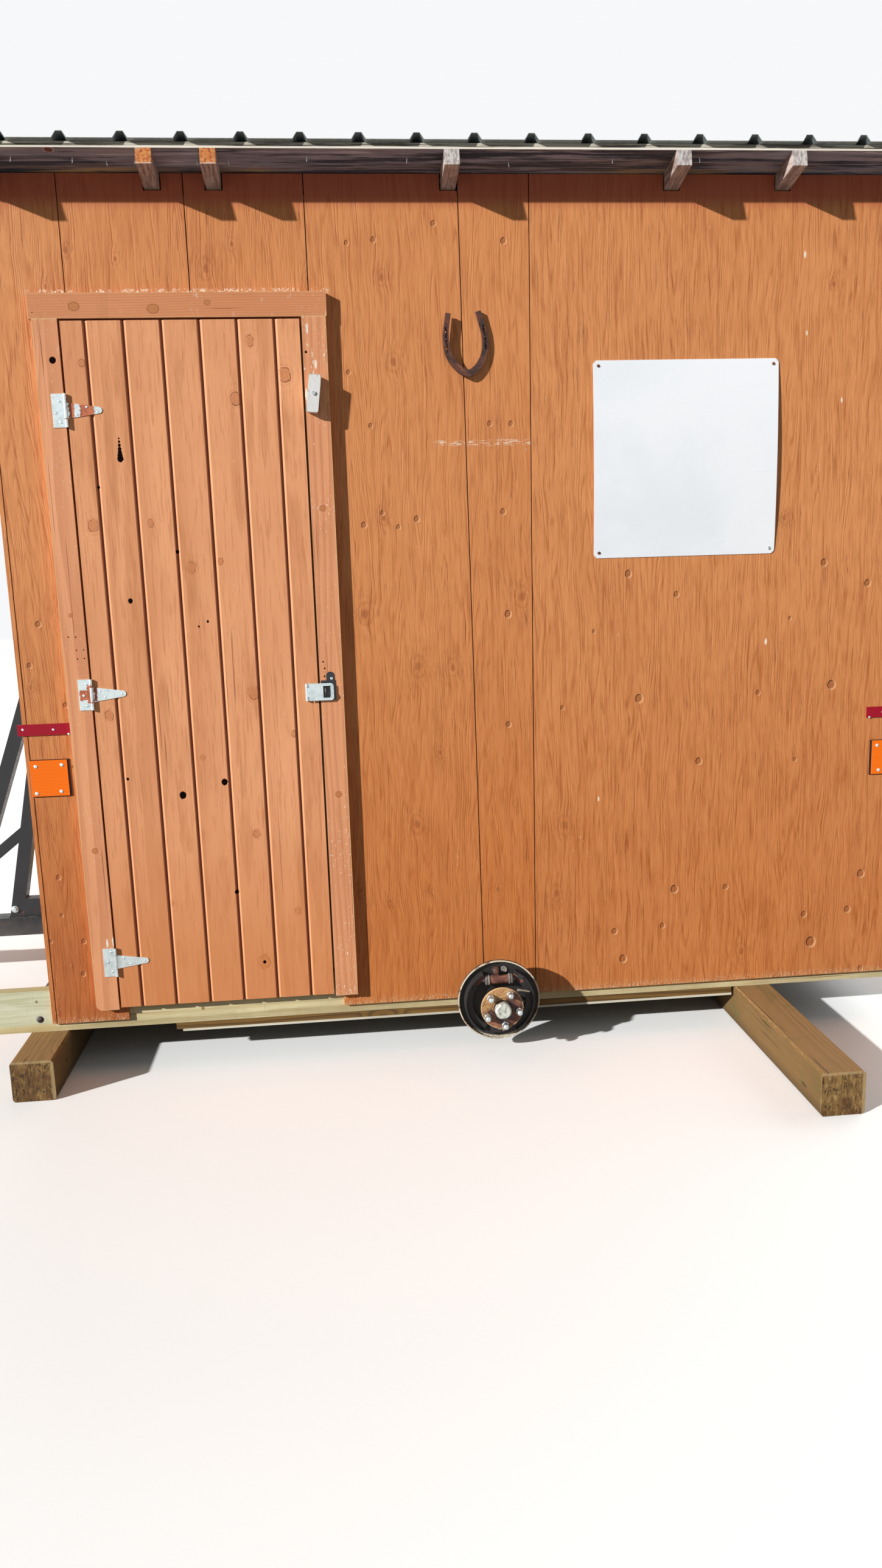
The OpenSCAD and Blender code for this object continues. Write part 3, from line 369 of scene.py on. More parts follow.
def stainedPly(
        name, seed, knots, strength=1.0, plugs=(), scrapes=None, inside=None, deeper=0.0, eave=None,
        scuff=None, nicks=()):
    material, where = newFinish(name, 0.62, Specular_IOR_Level=0.28)
    grain = place(veneerGrain, where, Seed=seed, Knots=knots)
    x, y, z = axes(where)
    colour = layer(plyLook["lower"], plyLook["upper"], span(z, wallFoot + 0.1, wallFoot + 1.7))
    cloud = drawn(where, (1.7, 1.7, 0.9), 3.0, move=(seed, 0, 0))
    colour = coats(
        colour, ((186, 104, 50), span(cloud, 0.62, 0.3, 0.0, 0.4)),
        (plyLook["dark"], grain["Streaks"], 0.66 * strength),
        (plyLook["light"], minus(1.0, grain["Streaks"]), 0.36 * strength),
        (plyLook["dark"], grain["Figure"], 0.1))
    if deeper:
        colour = layer(colour, (142, 64, 28), span(z, wallFoot + 1.0, wallFoot, 0.0, deeper))
    colour = coats(
        colour, (plyLook["knot"], grain["Knots"], 0.72), (plyLook["check"], grain["Checks"], 0.42))
    height = grain["Height"]
    if plugs:
        near = nearestMark(where, plugs, 1.15)
        # each plug is painted as a recess lit from the upper left: painted highlight on its lower right rim,
        # painted shade on its upper left rim
        litSide = [(right - 0.26 * r, up + 0.2 * r, 0.98 * r) for right, up, r in plugs]
        lee = nearestMark(where, litSide, 1.15)
        swirl = fold(times(near, 3.4))
        colour = layer(colour, plyLook["dark"], span(swirl, 0.6, 1.0), span(near, 2.9, 1.1), 0.3)
        insidePlug = span(near, 1.05, 0.92)
        colour = layer(colour, plyLook["knot"], insidePlug, 0.55)
        # pale crescent on the lower right: painted highlight
        paintedShading = times(insidePlug, span(lee, 0.8, 1.0))
        colour = layer(colour, (236, 184, 132), paintedShading, 0.5)
        # dark crescent on the upper left: painted shade
        dark = times(span(near, 0.62, 1.0), insidePlug, span(lee, 0.95, 0.75))
        colour = layer(colour, (76, 34, 20), dark)
        height = minus(height, times(span(near, 1.05, 0.85), 2.0))
    chips = place(chipGroup, where, Amount=0.24, Length=2.5)["Mask"]
    colour = layer(colour, plyLook["scrape"], chips, 0.8)
    torn = drawn(where, (420, 420, 85), 4.0, 0.65)
    low = span(z, wallFoot + 0.034, wallFoot + 0.002)
    fray = times(low, span(plus(torn, times(low, 0.06)), 0.56, 0.64))
    colour = layer(colour, (206, 176, 138), fray, 0.75)
    side = times(span(x, corner.x + 0.045, corner.x + 0.012), span(z, wallFoot + 0.35, wallFoot))
    colour = layer(colour, (214, 188, 156), side, span(torn, 0.6, 0.66), 0.8)
    if scrapes:
        low, high, foot, top = scrapes
        band = times(within(x, low, high, 0.012), within(z, foot, top, 0.004))
        flecks = span(drawn(where, (120, 120, 160), 4.0, 0.7), 0.5, 0.58)
        zones = span(drawn(where, (14, 14, 8), 2.0), 0.42, 0.55)
        colour = layer(colour, plyLook["scrape"], band, flecks, zones)
    if scuff:
        low, high = onWall(*scuff[0]), onWall(*scuff[1])
        rubbed = times(within(x, low.x, high.x, 0.01), within(z, low.z, high.z, 0.005))
        flecks = span(drawn(where, (46, 46, 260), 4.0, 0.7, move=(seed, 0, 0)), 0.5, 0.6)
        colour = layer(colour, plyLook["scrape"], rubbed, flecks, 0.75)
    if nicks:
        near = nearestMark(where, nicks, 2.6)
        colour = layer(colour, plyLook["scrape"], span(roughen(where, near, 0.9, 300), 1.1, 0.8))
    if eave is not None:  # darker, redder band under the eave: painted shade of the eave's shadow, and stain that the eave kept from fading
        colour = layer(colour, plyLook["paintedShading"], span(z, eave - 0.125, eave - 0.075, 0.0, 0.75))
    if inside is not None:
        axis, level, side = inside
        depth = (x, y, z)[axis]
        mask = times(span(depth, level - 0.0004 * side, level + 0.0004 * side), within(
            y, corner.y + 0.001, backFace - 0.001, 0.0004))
        plain = layer(plyLook["bare"], plyLook["bareDark"], grain["Streaks"], 0.5)
        plain = coats(plain, (plyLook["bareDark"], grain["Figure"], 0.35), ((120, 76, 42), grain["Knots"]))
        plies = fold(times(depth, 1000 / 2.4))
        colour = layer(colour, layer(plain, plyLook["bareDark"], span(plies, 0.4, 0.6, 0.0, 0.25)), mask)
    paint(colour, span(grain["Streaks"], 0.0, 1.0, 0.58, 0.76), height, 0.0011, 0.75)
    return material


sheetMarks = [
    (1857, 1343, 11), (2010, 1276, 9), (1748, 1171, 6), (2377, 1191, 6), (2483, 1359, 11), (2628, 1292, 11),
    (1892, 956, 13), (1646, 937, 7), (2279, 959, 8), (2521, 975, 14), (2088, 747, 11), (2407, 738, 7),
    (2012, 326, 13), (2185, 324, 9), (1973, 204, 9), (1812, 194, 10), (2646, 343, 13), (2604, 222, 11),
    (2454, 214, 10), (2481, 116, 17), (1841, 98, 13), (2658, 12, 9)]
cornerMarks = [
    (77, 1249, 9), (40, 1129, 8), (133, 1007, 8), (62, 476, 8), (61, 355, 6), (20, 272, 6), (120, 266, 8),
    (109, 160, 8), (139, 819, 5)]
middleMarks = [
    (1034, 2295, 7), (1111, 2303, 8), (1285, 2346, 8), (1082, 1794, 7), (1024, 1944, 7), (1209, 1524, 9),
    (1050, 1510, 9), (1106, 1544, 7), (1153, 1502, 7)]
narrowMarks = [
    (1487, 2299, 9), (1500, 1793, 8), (1436, 1794, 8), (1480, 1233, 11), (1471, 1539, 9), (1475, 892, 9)]


headLow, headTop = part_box("header_board")
headScrape = (headLow.x - 0.01, headTop.x + 0.01, headTop.z, headTop.z + 0.014)
skin = 0.0014  # depth of the bare inner face
plyThick = 0.012
innerFront = (1, corner.y + plyThick - skin, 1)
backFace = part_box("back_wall")[1].y
roofLow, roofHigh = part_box("roof_boards")
eaveDrop = 0.0158
eaveFoot = roofHigh.z - eaveDrop  # lower arris of the front board
scuffSpot = ((1270, 1733), (1567, 1748))
sheetNicks = [
    (2521, 1845, 3), (2404, 2039, 3), (2392, 2259, 4), (2150, 1510, 3), (1760, 640, 3), (2300, 1120, 4)]
sheetLook = {
    "corner_sheet": {"name": "ply corner", "seed": 1.3, "knots": 0.5, "strength": 1.1, "scrapes": headScrape,
        "deeper": 0.4, "plugs": cornerMarks},
    "over_door_sheets": {"name": "ply over door", "seed": 2.6, "knots": 0.75, "strength": 0.9,
        "scrapes": headScrape},
    "middle_sheet": {"name": "ply middle", "seed": 4.1, "knots": 0.35, "strength": 0.95,
        "scrapes": headScrape, "scuff": scuffSpot, "plugs": middleMarks},
    "narrow_sheet": {"name": "ply narrow", "seed": 5.7, "knots": 0.35, "strength": 0.9,
        "scuff": scuffSpot, "plugs": narrowMarks},
    "full_sheet": {"name": "ply full", "seed": 8.2, "knots": 0.12, "strength": 1.15,
        "plugs": sheetMarks, "nicks": sheetNicks}}
for name, values in sheetLook.items():
    dress(name, stainedPly(**values, inside=innerFront, eave=eaveFoot))
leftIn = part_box("left_wall")[1].x - skin
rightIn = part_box("right_wall")[0].x + skin
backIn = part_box("back_wall")[0].y + skin
dress("left_wall", stainedPly("ply left", seed=11.4, knots=0.4, strength=1.05, inside=(0, leftIn, 1)))
dress("right_wall", stainedPly("ply right", seed=14.9, knots=0.35, strength=1.05, inside=(0, rightIn, -1)))
dress("back_wall", stainedPly("ply back", seed=19.3, knots=0.4, inside=(1, backIn, -1)))
print("plywood ready")


# boards
def along(where, axis, start, pitch):  # turns a board's grain to Z, and numbers boards laid side by side
    x, y, z = axes(where)
    if axis == "z":
        first, second, length = x, y, z
    elif axis == "x":
        first, second, length = z, y, x
    else:
        first, second, length = x, z, y
    shifted = minus(first, start)
    number = calc("FLOOR", divide(shifted, pitch))
    local = minus(shifted, times(number, pitch), pitch / 2)
    return pack(local, second, length), number


def board(
        name, base, dark, axis="z", start=0.0, pitch=10.0, seed=0.0, contrast=0.5, knots=0.35, ring=0.0045,
        roughness=0.68, relief=0.7, vary=0.12, checkTone=None, rub=None, rubTone=None, ends=None,
        extra=None):
    material, where = newFinish(name, roughness, Specular_IOR_Level=0.32)
    local, number = along(where, axis, start, pitch)
    number = plus(number, seed)
    grain = place(lumberGrain, local, Seed=number, Ring=ring, Knots=knots)
    lot = put("TexWhiteNoise", {"W": plus(number, 31.7)}, noise_dimensions="1D").outputs["Value"]
    colour = layer(base, dark, span(lot, 0.0, 1.0, 0.0, vary * 2))
    cloud = noise(where, 3.0, 0.55, scale=2.6)
    colour = coats(
        colour, (dark, span(cloud, 0.4, 0.7, 0.0, vary * 2)), (dark, grain["Rings"], contrast),
        (dark, span(grain["Fibre"], 0.45, 0.7), contrast * 0.55), (checkTone or dark, grain["Knots"], 0.65),
        (checkTone or dark, grain["Checks"], 0.8))
    height = grain["Height"]
    if ends:  # (axis number, low, high, tone): sawn ends
        index, low, high, endTone = ends
        level = axes(where)[index]
        mask = either(span(level, low + 0.0006, low + 0.0002), span(level, high - 0.0006, high - 0.0002))
        rough = noise(where, 4.0, 0.7, scale=90)
        endColour = layer(endTone, dark, span(rough, 0.4, 0.62))
        endColour = layer(endColour, dark, grain["Rings"], 0.55)
        colour = layer(colour, endColour, mask)
    if rub:
        low, high, width = rub
        mask = place(edgeRub, where, Low=tuple(low), High=tuple(high), Width=width)["Mask"]
        colour = layer(colour, rubTone or base, mask, 0.75)
    if extra:
        colour, height = extra(where, colour, height, grain)
    paint(
        colour, span(grain["Fibre"], 0.2, 0.8, roughness - 0.06, roughness + 0.12), height, 0.0009, relief)
    return material


# door
# groove is painted shade and lit edge a painted highlight on the V-groove slopes; hole is painted shade
# inside holes
doorLook = {
    "base": (228, 160, 113), "dark": (180, 108, 62), "groove": (104, 44, 34), "hole": (14, 8, 7),
    "lit edge": (214, 150, 106), "firstPlank": 0.068, "plank": 0.106}
doorLow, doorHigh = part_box("door_planks")
doorHoles = [
    (358, 1713, 9), (358, 1722, 7.6), (358, 1731, 6.2), (358, 1740, 5.2), (358, 1750, 4.2),
    (358, 1760, 3.2), (358, 1769, 2.4), (353, 1309, 7), (462, 720, 10.5), (590, 755, 9.5), (301, 778, 4),
    (289, 1635, 4), (604, 405, 6.5), (499, 1447, 5), (546, 1228, 3), (573, 1242, 3.5), (676, 171, 5)]
doorKnots = [
    (538, 1401, 13), (697, 1872, 15), (695, 1025, 17), (678, 588, 11), (678, 171, 18), (273, 1975, 9),
    (840, 1936, 17), (266, 1527, 15), (531, 834, 8), (808, 895, 8), (263, 973, 13), (622, 1416, 8),
    (746, 2030, 12), (430, 1530, 9), (400, 380, 9), (790, 330, 10)]


def planks(where, colour, height, grain):
    y, z = axes(where)[1:]
    holes = nearestMark(where, doorHoles, 1.15)
    ragged = roughen(where, holes, 0.5, 160)
    rings = roughen(where, nearestMark(where, doorKnots, 1.25), 0.7, 75)
    knotEdge = times(span(rings, 0.82, 0.96), span(rings, 1.1, 1.0))
    broken = span(noise(where, 2.0, scale=60), 0.4, 0.56, 0.25, 0.95)
    colour = coats(
        colour, ((188, 114, 66), span(rings, 1.0, 0.8, 0.0, 0.6)), ((128, 66, 36), knotEdge, broken))
    swirl = fold(times(rings, 2.2))
    colour = layer(colour, doorLook["dark"], span(swirl, 0.7, 1.0), span(rings, 3.2, 1.2), 0.35)
    lap = drawn(where, (26, 26, 3.2), 3.0, 0.6)  # thin and thick stain
    colour = layer(colour, (184, 118, 72), span(lap, 0.53, 0.7, 0.0, 0.5))
    thready = drawn(where, (210, 210, 11), 3.0, 0.6)
    colour = layer(colour, (176, 104, 62), span(thready, 0.52, 0.66, 0.0, 0.4))
    chips = place(chipGroup, where, Amount=0.3, Length=1.3)["Mask"]
    colour = layer(colour, (240, 200, 164), chips, 0.75)
    low = span(z, doorLow.z + 0.7, doorLow.z)
    colour = layer(colour, (198, 120, 66), low, 0.65)
    # V-groove slopes painted by how they face the light: painted shade, deeper with depth, on the slope
    # turned away, and a painted highlight on the slope turned to it
    slant = axes(put("TexCoord").outputs["Normal"])[0]
    groove = times(span(y, doorLow.y + 0.0006, doorLow.y + 0.0016), span(
        y, doorLow.y + 0.012, doorLow.y + 0.0105))
    shade = times(
        groove, span(slant, -0.3, 0.0), span(y, doorLow.y + 0.0012, doorLow.y + 0.0042, 0.08, 1.0))
    colour = layer(colour, doorLook["groove"], shade, 0.9)
    lit = times(groove, span(slant, -0.3, -0.5))
    colour = layer(colour, doorLook["lit edge"], lit, 0.75)
    # holes painted near black: painted shade inside them
    deep = span(ragged, 1.05, 0.9)
    colour = layer(colour, doorLook["hole"], deep)
    feed(principled()["Metallic"], deep)  # takes the shine off a hole, so its painted shade stays black
    colour = layer(
        colour, layer((214, 180, 132), (160, 118, 72), grain["Rings"], 0.6),
        span(y, doorHigh.y - 0.0016, doorHigh.y - 0.0008))
    height = minus(height, times(span(holes, 1.05, 0.85), 4.0))
    height = minus(height, times(knotEdge, 0.7))
    return colour, height


dress("door_planks", board(
    "door stain", doorLook["base"], doorLook["dark"],
    start=doorLow.x + doorLook["firstPlank"] - doorLook["plank"], pitch=doorLook["plank"], seed=5.0,
    contrast=0.3, knots=0.0, ring=0.006, roughness=0.56, relief=0.5, vary=0.1, checkTone=(128, 66, 38),
    extra=planks))
dress("door_battens", board(
    "batten wood", (212, 178, 130), (156, 112, 66), axis="x", pitch=0.3, seed=3.0, contrast=0.55,
    rub=(*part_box("door_battens"), 0.004), rubTone=(228, 200, 156)))


# casings and header
trimLook = {
    "base": (227, 158, 113), "dark": (172, 102, 62), "scrape": (236, 226, 208), "bare": (214, 176, 124)}
casingLow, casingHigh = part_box("side_casings")
casingMiddle = (casingLow.x + casingHigh.x) / 2


def trimDetail(marks, holes, scrapeTone, scratches=(), flecks=1.0, squat=1.0):
    def detail(where, colour, height, grain):
        x, z = axes(where)[::2]
        near = roughen(where, nearestMark(where, marks, squat), 0.5, 70)
        rim = times(span(near, 0.84, 0.96), span(near, 1.1, 1.0))
        colour = coats(
            colour, ((178, 112, 62), span(near, 1.0, 0.85, 0.0, 0.85)), ((126, 68, 38), rim, 0.8))
        away = nearestMark(where, holes)
        chips = place(chipGroup, where, Amount=0.55, Length=1.0)["Mask"]
        # the latch side is the most knocked about
        right = span(x, casingMiddle, casingMiddle + 0.05, 0.25, 1.0)
        if scratches:
            nicked = nearestMark(where, [(a, b, 3.2) for a, b in scratches], 4.5)
            colour = layer(colour, scrapeTone, span(roughen(where, nicked, 1.4, 260), 1.15, 0.85, 0.0, 0.9))
        colour = layer(colour, scrapeTone, chips, right, flecks)
        wide = span(drawn(where, (60, 60, 22), 4.0, 0.7), 0.62, 0.68)
        high = span(z, wallFoot + 1.6, wallFoot + 1.9)
        colour = layer(colour, scrapeTone, wide, right, high, 0.85 * flecks)
        thin = drawn(where, (22, 22, 3.4), 3.0, 0.6)
        # the last coat paints holes near black: painted shade inside them
        colour = coats(
            colour, ((184, 122, 78), span(thin, 0.56, 0.72, 0.0, 0.5)),
            (doorLook["hole"], span(away, 1.1, 0.9)))
        feed(principled()["Metallic"], span(away, 1.1, 0.9))
        height = minus(height, times(span(away, 1.1, 0.8), 4.0))
        return colour, height
    return detail


casingMarks = [(178, 1273, 6), (930, 1560, 9), (935, 700, 10), (185, 560, 9)]
casingHoles = [
    (194, 1983, 9.5), (904, 1997, 3.5), (166, 1210, 2), (187, 1209, 2), (185, 1171, 2), (206, 1171, 2),
    (186, 1145, 2), (206, 1146, 2), (908, 1110, 2.5), (912, 1090, 2.5), (910, 1066, 2.5)]
casingScratches = [(910, 2059), (930, 1963), (921, 1930), (899, 1880), (214, 268), (196, 262)]
headMarks = [(264, 2125, 15), (482, 2117, 16), (633, 2133, 9)]
dress("side_casings", board(
    "casing stain", trimLook["base"], trimLook["dark"], start=casingLow.x - 0.1, pitch=0.45, seed=22.0,
    contrast=0.36, knots=0.1, ring=0.006, roughness=0.58, relief=0.5, vary=0.08, checkTone=(128, 66, 38),
    rub=(casingLow, casingHigh, 0.003), rubTone=trimLook["bare"],
    extra=trimDetail(casingMarks, casingHoles, trimLook["scrape"], casingScratches)))
dress("header_board", board(
    "header stain", (212, 142, 96), trimLook["dark"], axis="x", start=-10.0, pitch=20.0, seed=27.0,
    contrast=0.3, knots=0.0, ring=0.007, roughness=0.58, relief=0.45, vary=0.08, checkTone=(128, 66, 38),
    rub=(headLow, headTop, 0.002), rubTone=trimLook["bare"],
    extra=trimDetail(headMarks, [(150, 2110, 1.5)], trimLook["scrape"], flecks=0.3, squat=0.8)))


# framing, floor and base
rawLook = {
    "stud": (218, 188, 142), "studDark": (164, 122, 74), "rail": (226, 212, 168),
    "railGreen": (198, 202, 172), "railDark": (176, 152, 98), "old": (128, 94, 44), "oldDark": (70, 50, 28),
    "timber": (138, 106, 62), "timberDark": (84, 62, 34)}
dress("front_studs back_studs side_studs", board(
    "stud wood", rawLook["stud"], rawLook["studDark"], pitch=0.19, seed=2.0))
dress("wall_plates", board(
    "plate wood", rawLook["stud"], rawLook["studDark"], axis="x", pitch=0.2, seed=6.0))
dress("floor_joists", board("joist wood", (200, 176, 132), (140, 112, 74), axis="x", pitch=0.3, seed=9.0))
dress("floor_headers", board(
    "header joist wood", rawLook["rail"], rawLook["railDark"], axis="y", pitch=0.9, seed=12.0,
    contrast=0.45))
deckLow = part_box("floor_deck")[0]


def trodden(where, colour, height, grain):
    scuff = drawn(where, (5, 9, 5), 5.0, 0.7)
    colour = layer(colour, (120, 100, 76), span(scuff, 0.45, 0.7, 0.0, 0.6))
    x, y = axes(where)[:2]
    doorway = times(span(y, deckLow.y + 0.7, deckLow.y), within(x, doorLow.x, doorHigh.x, 0.1))
    return layer(colour, (98, 82, 64), doorway, 0.45), height


dress("floor_deck", board(
    "deck ply", (196, 162, 112), (140, 104, 62), axis="x", pitch=1.3, seed=15.0, knots=0.5, ring=0.012,
    extra=trodden))
railLow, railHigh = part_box("rails")
railKnots = [(-47, 73, 5), (-230, 40, 11), (468, 16, 6), (1120, 10, 8), (2120, 14, 9)]


def treated(where, colour, height, grain):
    x, z = axes(where)[::2]
    green = span(x, corner.x + 0.02, corner.x - 0.01)
    colour = layer(colour, rawLook["railGreen"], green, 0.8)
    fibre = drawn(where, (7, 60, 190), 3.0, 0.65)
    colour = layer(colour, (170, 158, 118), span(fibre, 0.48, 0.66, 0.0, 0.45))
    cloudy = drawn(where, (5, 9, 26), 4.0, 0.6)
    colour = layer(colour, (216, 214, 190), green, span(cloudy, 0.45, 0.68), 0.55)
    lower = times(green, span(plus(z, times(cloudy, 0.014)), railLow.z + 0.034, railLow.z + 0.022))
    colour = layer(colour, (214, 190, 132), lower, 0.75)
    above = times(green, span(z, railHigh.z - 0.0012, railHigh.z - 0.0004))
    colour = layer(colour, (168, 156, 104), above, 0.7)
    incised = drawn(where, (150, 60, 14), 3.0, 0.6)
    colour = layer(colour, (172, 166, 134), span(incised, 0.58, 0.72, 0.0, 0.3))
    # painted counterbore round the rail bolt: a grey ring for its wall and a dark disc of painted shade
    # inside it
    bore = nearestMark(where, [(-41, 14, 12.5)])
    colour = layer(colour, (150, 146, 136), span(bore, 1.04, 0.94))
    shade = nearestMark(where, [(-39.5, 12.5, 10.5)])
    colour = layer(colour, (34, 32, 34), span(shade, 1.06, 0.94))
    drips = place(grimeGroup, where, Amount=0.5, Foot=railLow.z, Reach=0.05)["Mask"]
    colour = layer(colour, (138, 116, 78), drips)
    knots = nearestMark(where, railKnots)
    return layer(colour, (120, 84, 44), span(knots, 1.1, 0.7, 0.0, 0.8)), height


dress("rails", board(
    "treated rail", rawLook["rail"], rawLook["railDark"], axis="x", start=-5.0, seed=31.0, knots=0.1,
    ring=0.006, roughness=0.66, relief=0.6, vary=0.05, checkTone=(120, 84, 44),
    ends=(0, railLow.x, railHigh.x, (206, 192, 148)), extra=treated))
dress("underboards", board(
    "old board", rawLook["old"], rawLook["oldDark"], axis="x", start=-5.0, seed=34.0, contrast=0.75,
    knots=0.3, ring=0.004, roughness=0.75))
dress("edge_strips", board(
    "pale strip", (222, 218, 200), (168, 160, 138), axis="x", start=-5.0, seed=37.0, contrast=0.4,
    knots=0.0, ring=0.005))


def weathered(low, high):
    def detail(where, colour, height, grain):
        x, y, z = axes(where)
        # top face painted lighter: sun-bleached wood, and painted light on the face turned up to the light
        bleachedLitTop = span(z, high.z - 0.004, high.z - 0.001)
        colour = layer(colour, (150, 116, 74), bleachedLitTop, 0.5)
        moss = noise(where, 5.0, 0.65, scale=7)
        colour = layer(colour, (92, 88, 46), span(moss, 0.52, 0.72, 0.0, 0.55))
        damp = span(z, low.z + 0.05, low.z)
        colour = layer(colour, (58, 44, 28), damp, 0.6)
        splits = span(drawn(where, (70, 1.3, 70), 3.0, 0.65), 0.64, 0.68)
        colour = layer(colour, (40, 28, 16), splits, 0.8)
        end = either(span(y, low.y + 0.0008, low.y + 0.0003), span(y, high.y - 0.0008, high.y - 0.0003))
        fibres = drawn(where, (150, 20, 34), 5.0, 0.7, turn=(0, 0.5, 0))
        patch = noise(where, 3.0, 0.6, scale=16)
        sawn = layer((104, 74, 40), (140, 108, 62), span(patch, 0.4, 0.6))
        sawn = coats(
            sawn, ((58, 40, 22), span(fibres, 0.5, 0.36, 0.0, 0.8)),
            ((192, 162, 108), span(fibres, 0.56, 0.68, 0.0, 0.75)))
        rings = fold(times(vec("LENGTH", vec("SUBTRACT", where, (low.x - 0.03, 0.0, low.z + 0.05))), 95.0))
        sawn = layer(sawn, (70, 50, 28), span(rings, 0.55, 0.95, 0.0, 0.25))
        gap = drawn(where, (34, 20, 12), 3.0, 0.6, move=(5, 0, 0), turn=(0, -0.3, 0))
        sawn = layer(sawn, (36, 26, 16), span(gap, 0.485, 0.495), span(gap, 0.515, 0.505), 0.85)
        border = either(span(x, high.x - 0.014, high.x - 0.006), span(z, high.z - 0.01, high.z - 0.004))
        sawn = layer(sawn, (196, 168, 122), border, 0.5)
        colour = layer(colour, sawn, end)
        return colour, minus(height, times(splits, 1.5))
    return detail


for side, seed in (("left_timber", 43.0), ("right_timber", 47.0)):
    low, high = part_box(side)
    dress(side, board(
        side.replace("_", " "), rawLook["timber"], rawLook["timberDark"], axis="y", start=low.x,
        pitch=high.x - low.x, seed=seed, contrast=0.6, knots=0.25, ring=0.0055, roughness=0.78, relief=1.0,
        checkTone=(52, 36, 20), rub=(low, high, 0.006), rubTone=(164, 132, 84), extra=weathered(low, high)))
print("boards ready")


# roof
roofLook = {
    "tail": (190, 174, 166), "tailDark": (128, 106, 96), "stainedEnd": (180, 98, 46), "board": (96, 90, 90),
    "boardDark": (44, 42, 46), "sheet": (146, 153, 151), "sheetDark": (92, 100, 98)}
rafterLow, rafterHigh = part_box("rafters")
tailDrop = 0.0415
tailFoot = rafterHigh.z - tailDrop  # lower arris of the rafters' front ends
roofFall = 2 / 12
slope = math.atan(roofFall)


def tails(where, colour, height, grain):
    x, y, z = axes(where)
    outside = span(y, corner.y + 0.006, corner.y - 0.004)
    blot = span(noise(where, 4.0, 0.65, scale=26), 0.45, 0.62)
    streak = drawn(where, (160, 9, 60), 4.0, 0.65)
    pale = layer(roofLook["tail"], roofLook["tailDark"], span(streak, 0.42, 0.64))
    pale = coats(
        pale, (roofLook["tailDark"], blot, 0.4), ((214, 204, 196), span(streak, 0.36, 0.28, 0.0, 0.7)))
    colour = layer(colour, pale, outside)
    inward = minus(times(z, math.sin(slope)), times(y, math.cos(slope)))
    tailEnd = tailFoot * math.sin(slope) - rafterLow.y * math.cos(slope)
    face = span(inward, tailEnd - 0.0014, tailEnd - 0.0006)
    sawn = layer((204, 196, 190), (154, 144, 140), span(streak, 0.4, 0.6))
    colour = layer(colour, layer(sawn, (122, 108, 102), blot, 0.3), face)
    stained = times(within(x, corner.x + 0.4, corner.x + 0.76), face)
    mottle = noise(where, 6.0, 0.72, scale=110)
    orange = layer(roofLook["stainedEnd"], (206, 138, 78), span(mottle, 0.42, 0.62))
    orange = coats(
        orange, ((122, 62, 30), span(mottle, 0.48, 0.36, 0.0, 0.9)),
        ((170, 156, 142), blot, span(mottle, 0.5, 0.6), 0.8))
    foot = drawn(where, (140, 1, 60), 3.0, 0.6)
    bare = span(plus(z, times(foot, 0.012)), tailFoot + 0.0095, tailFoot + 0.008)
    orange = layer(orange, (212, 200, 186), bare, 0.6)
    return layer(colour, orange, stained), height


dress("rafters", board(
    "rafter wood", rawLook["stud"], rawLook["studDark"], axis="y", pitch=0.16, seed=51.0, extra=tails))


def aged(where, colour, height, grain):
    x, y, z = axes(where)
    wide = drawn(where, (1.5, 15, 15), 4.0, 0.62)
    thin = drawn(where, (3.0, 75, 75), 5.0, 0.7, move=(4, 0, 0))
    colour = layer((52, 55, 66), (146, 145, 156), span(wide, 0.45, 0.56))
    colour = coats(
        colour, ((188, 186, 198), span(thin, 0.5, 0.62, 0.0, 0.75)),
        ((228, 224, 226), span(wide, 0.56, 0.66), span(thin, 0.5, 0.58)))
    brown = span(drawn(where, (0.9, 9, 9), 3.0, 0.6, move=(8, 0, 0)), 0.5, 0.6)
    colour = coats(
        colour, ((140, 116, 100), brown, span(thin, 0.4, 0.56), 0.45),
        ((24, 22, 24), span(thin, 0.42, 0.34, 0.0, 0.85)))
    tan = span(drawn(where, (1.4, 3, 3), 3.0, 0.6, move=(3, 0, 0)), 0.5, 0.62)
    rear = span(y, corner.y - 0.032, corner.y - 0.01)
    colour = layer(colour, (190, 158, 110), tan, rear, span(thin, 0.4, 0.5))
    inward = minus(times(z, math.sin(slope)), times(y, math.cos(slope)))
    boardEnd = eaveFoot * math.sin(slope) - roofLow.y * math.cos(slope)
    edge = span(inward, boardEnd - 0.0016, boardEnd - 0.0008)
    worn = layer((96, 88, 80), (190, 182, 166), span(thin, 0.42, 0.56))
    arris = span(plus(z, times(wide, 0.004)), eaveFoot + 0.0075, eaveFoot + 0.006)
    worn = layer(worn, (236, 228, 212), arris, 0.85)
    knot = vec("LENGTH", pack(
        divide(minus(x, corner.x + 0.252), 0.012), divide(minus(y, roofLow.y + 0.011), 0.012), 0.0))
    colour = coats(colour, ((206, 190, 184), span(knot, 1.25, 1.0)), ((112, 66, 60), span(knot, 1.0, 0.88)))
    return layer(colour, worn, edge), height


dress("roof_boards", board(
    "roof board", roofLook["board"], roofLook["boardDark"], axis="x", seed=61.0, contrast=0.75, knots=0.4,
    ring=0.004, roughness=0.8, relief=1.0, vary=0.25, checkTone=(26, 24, 26), extra=aged))


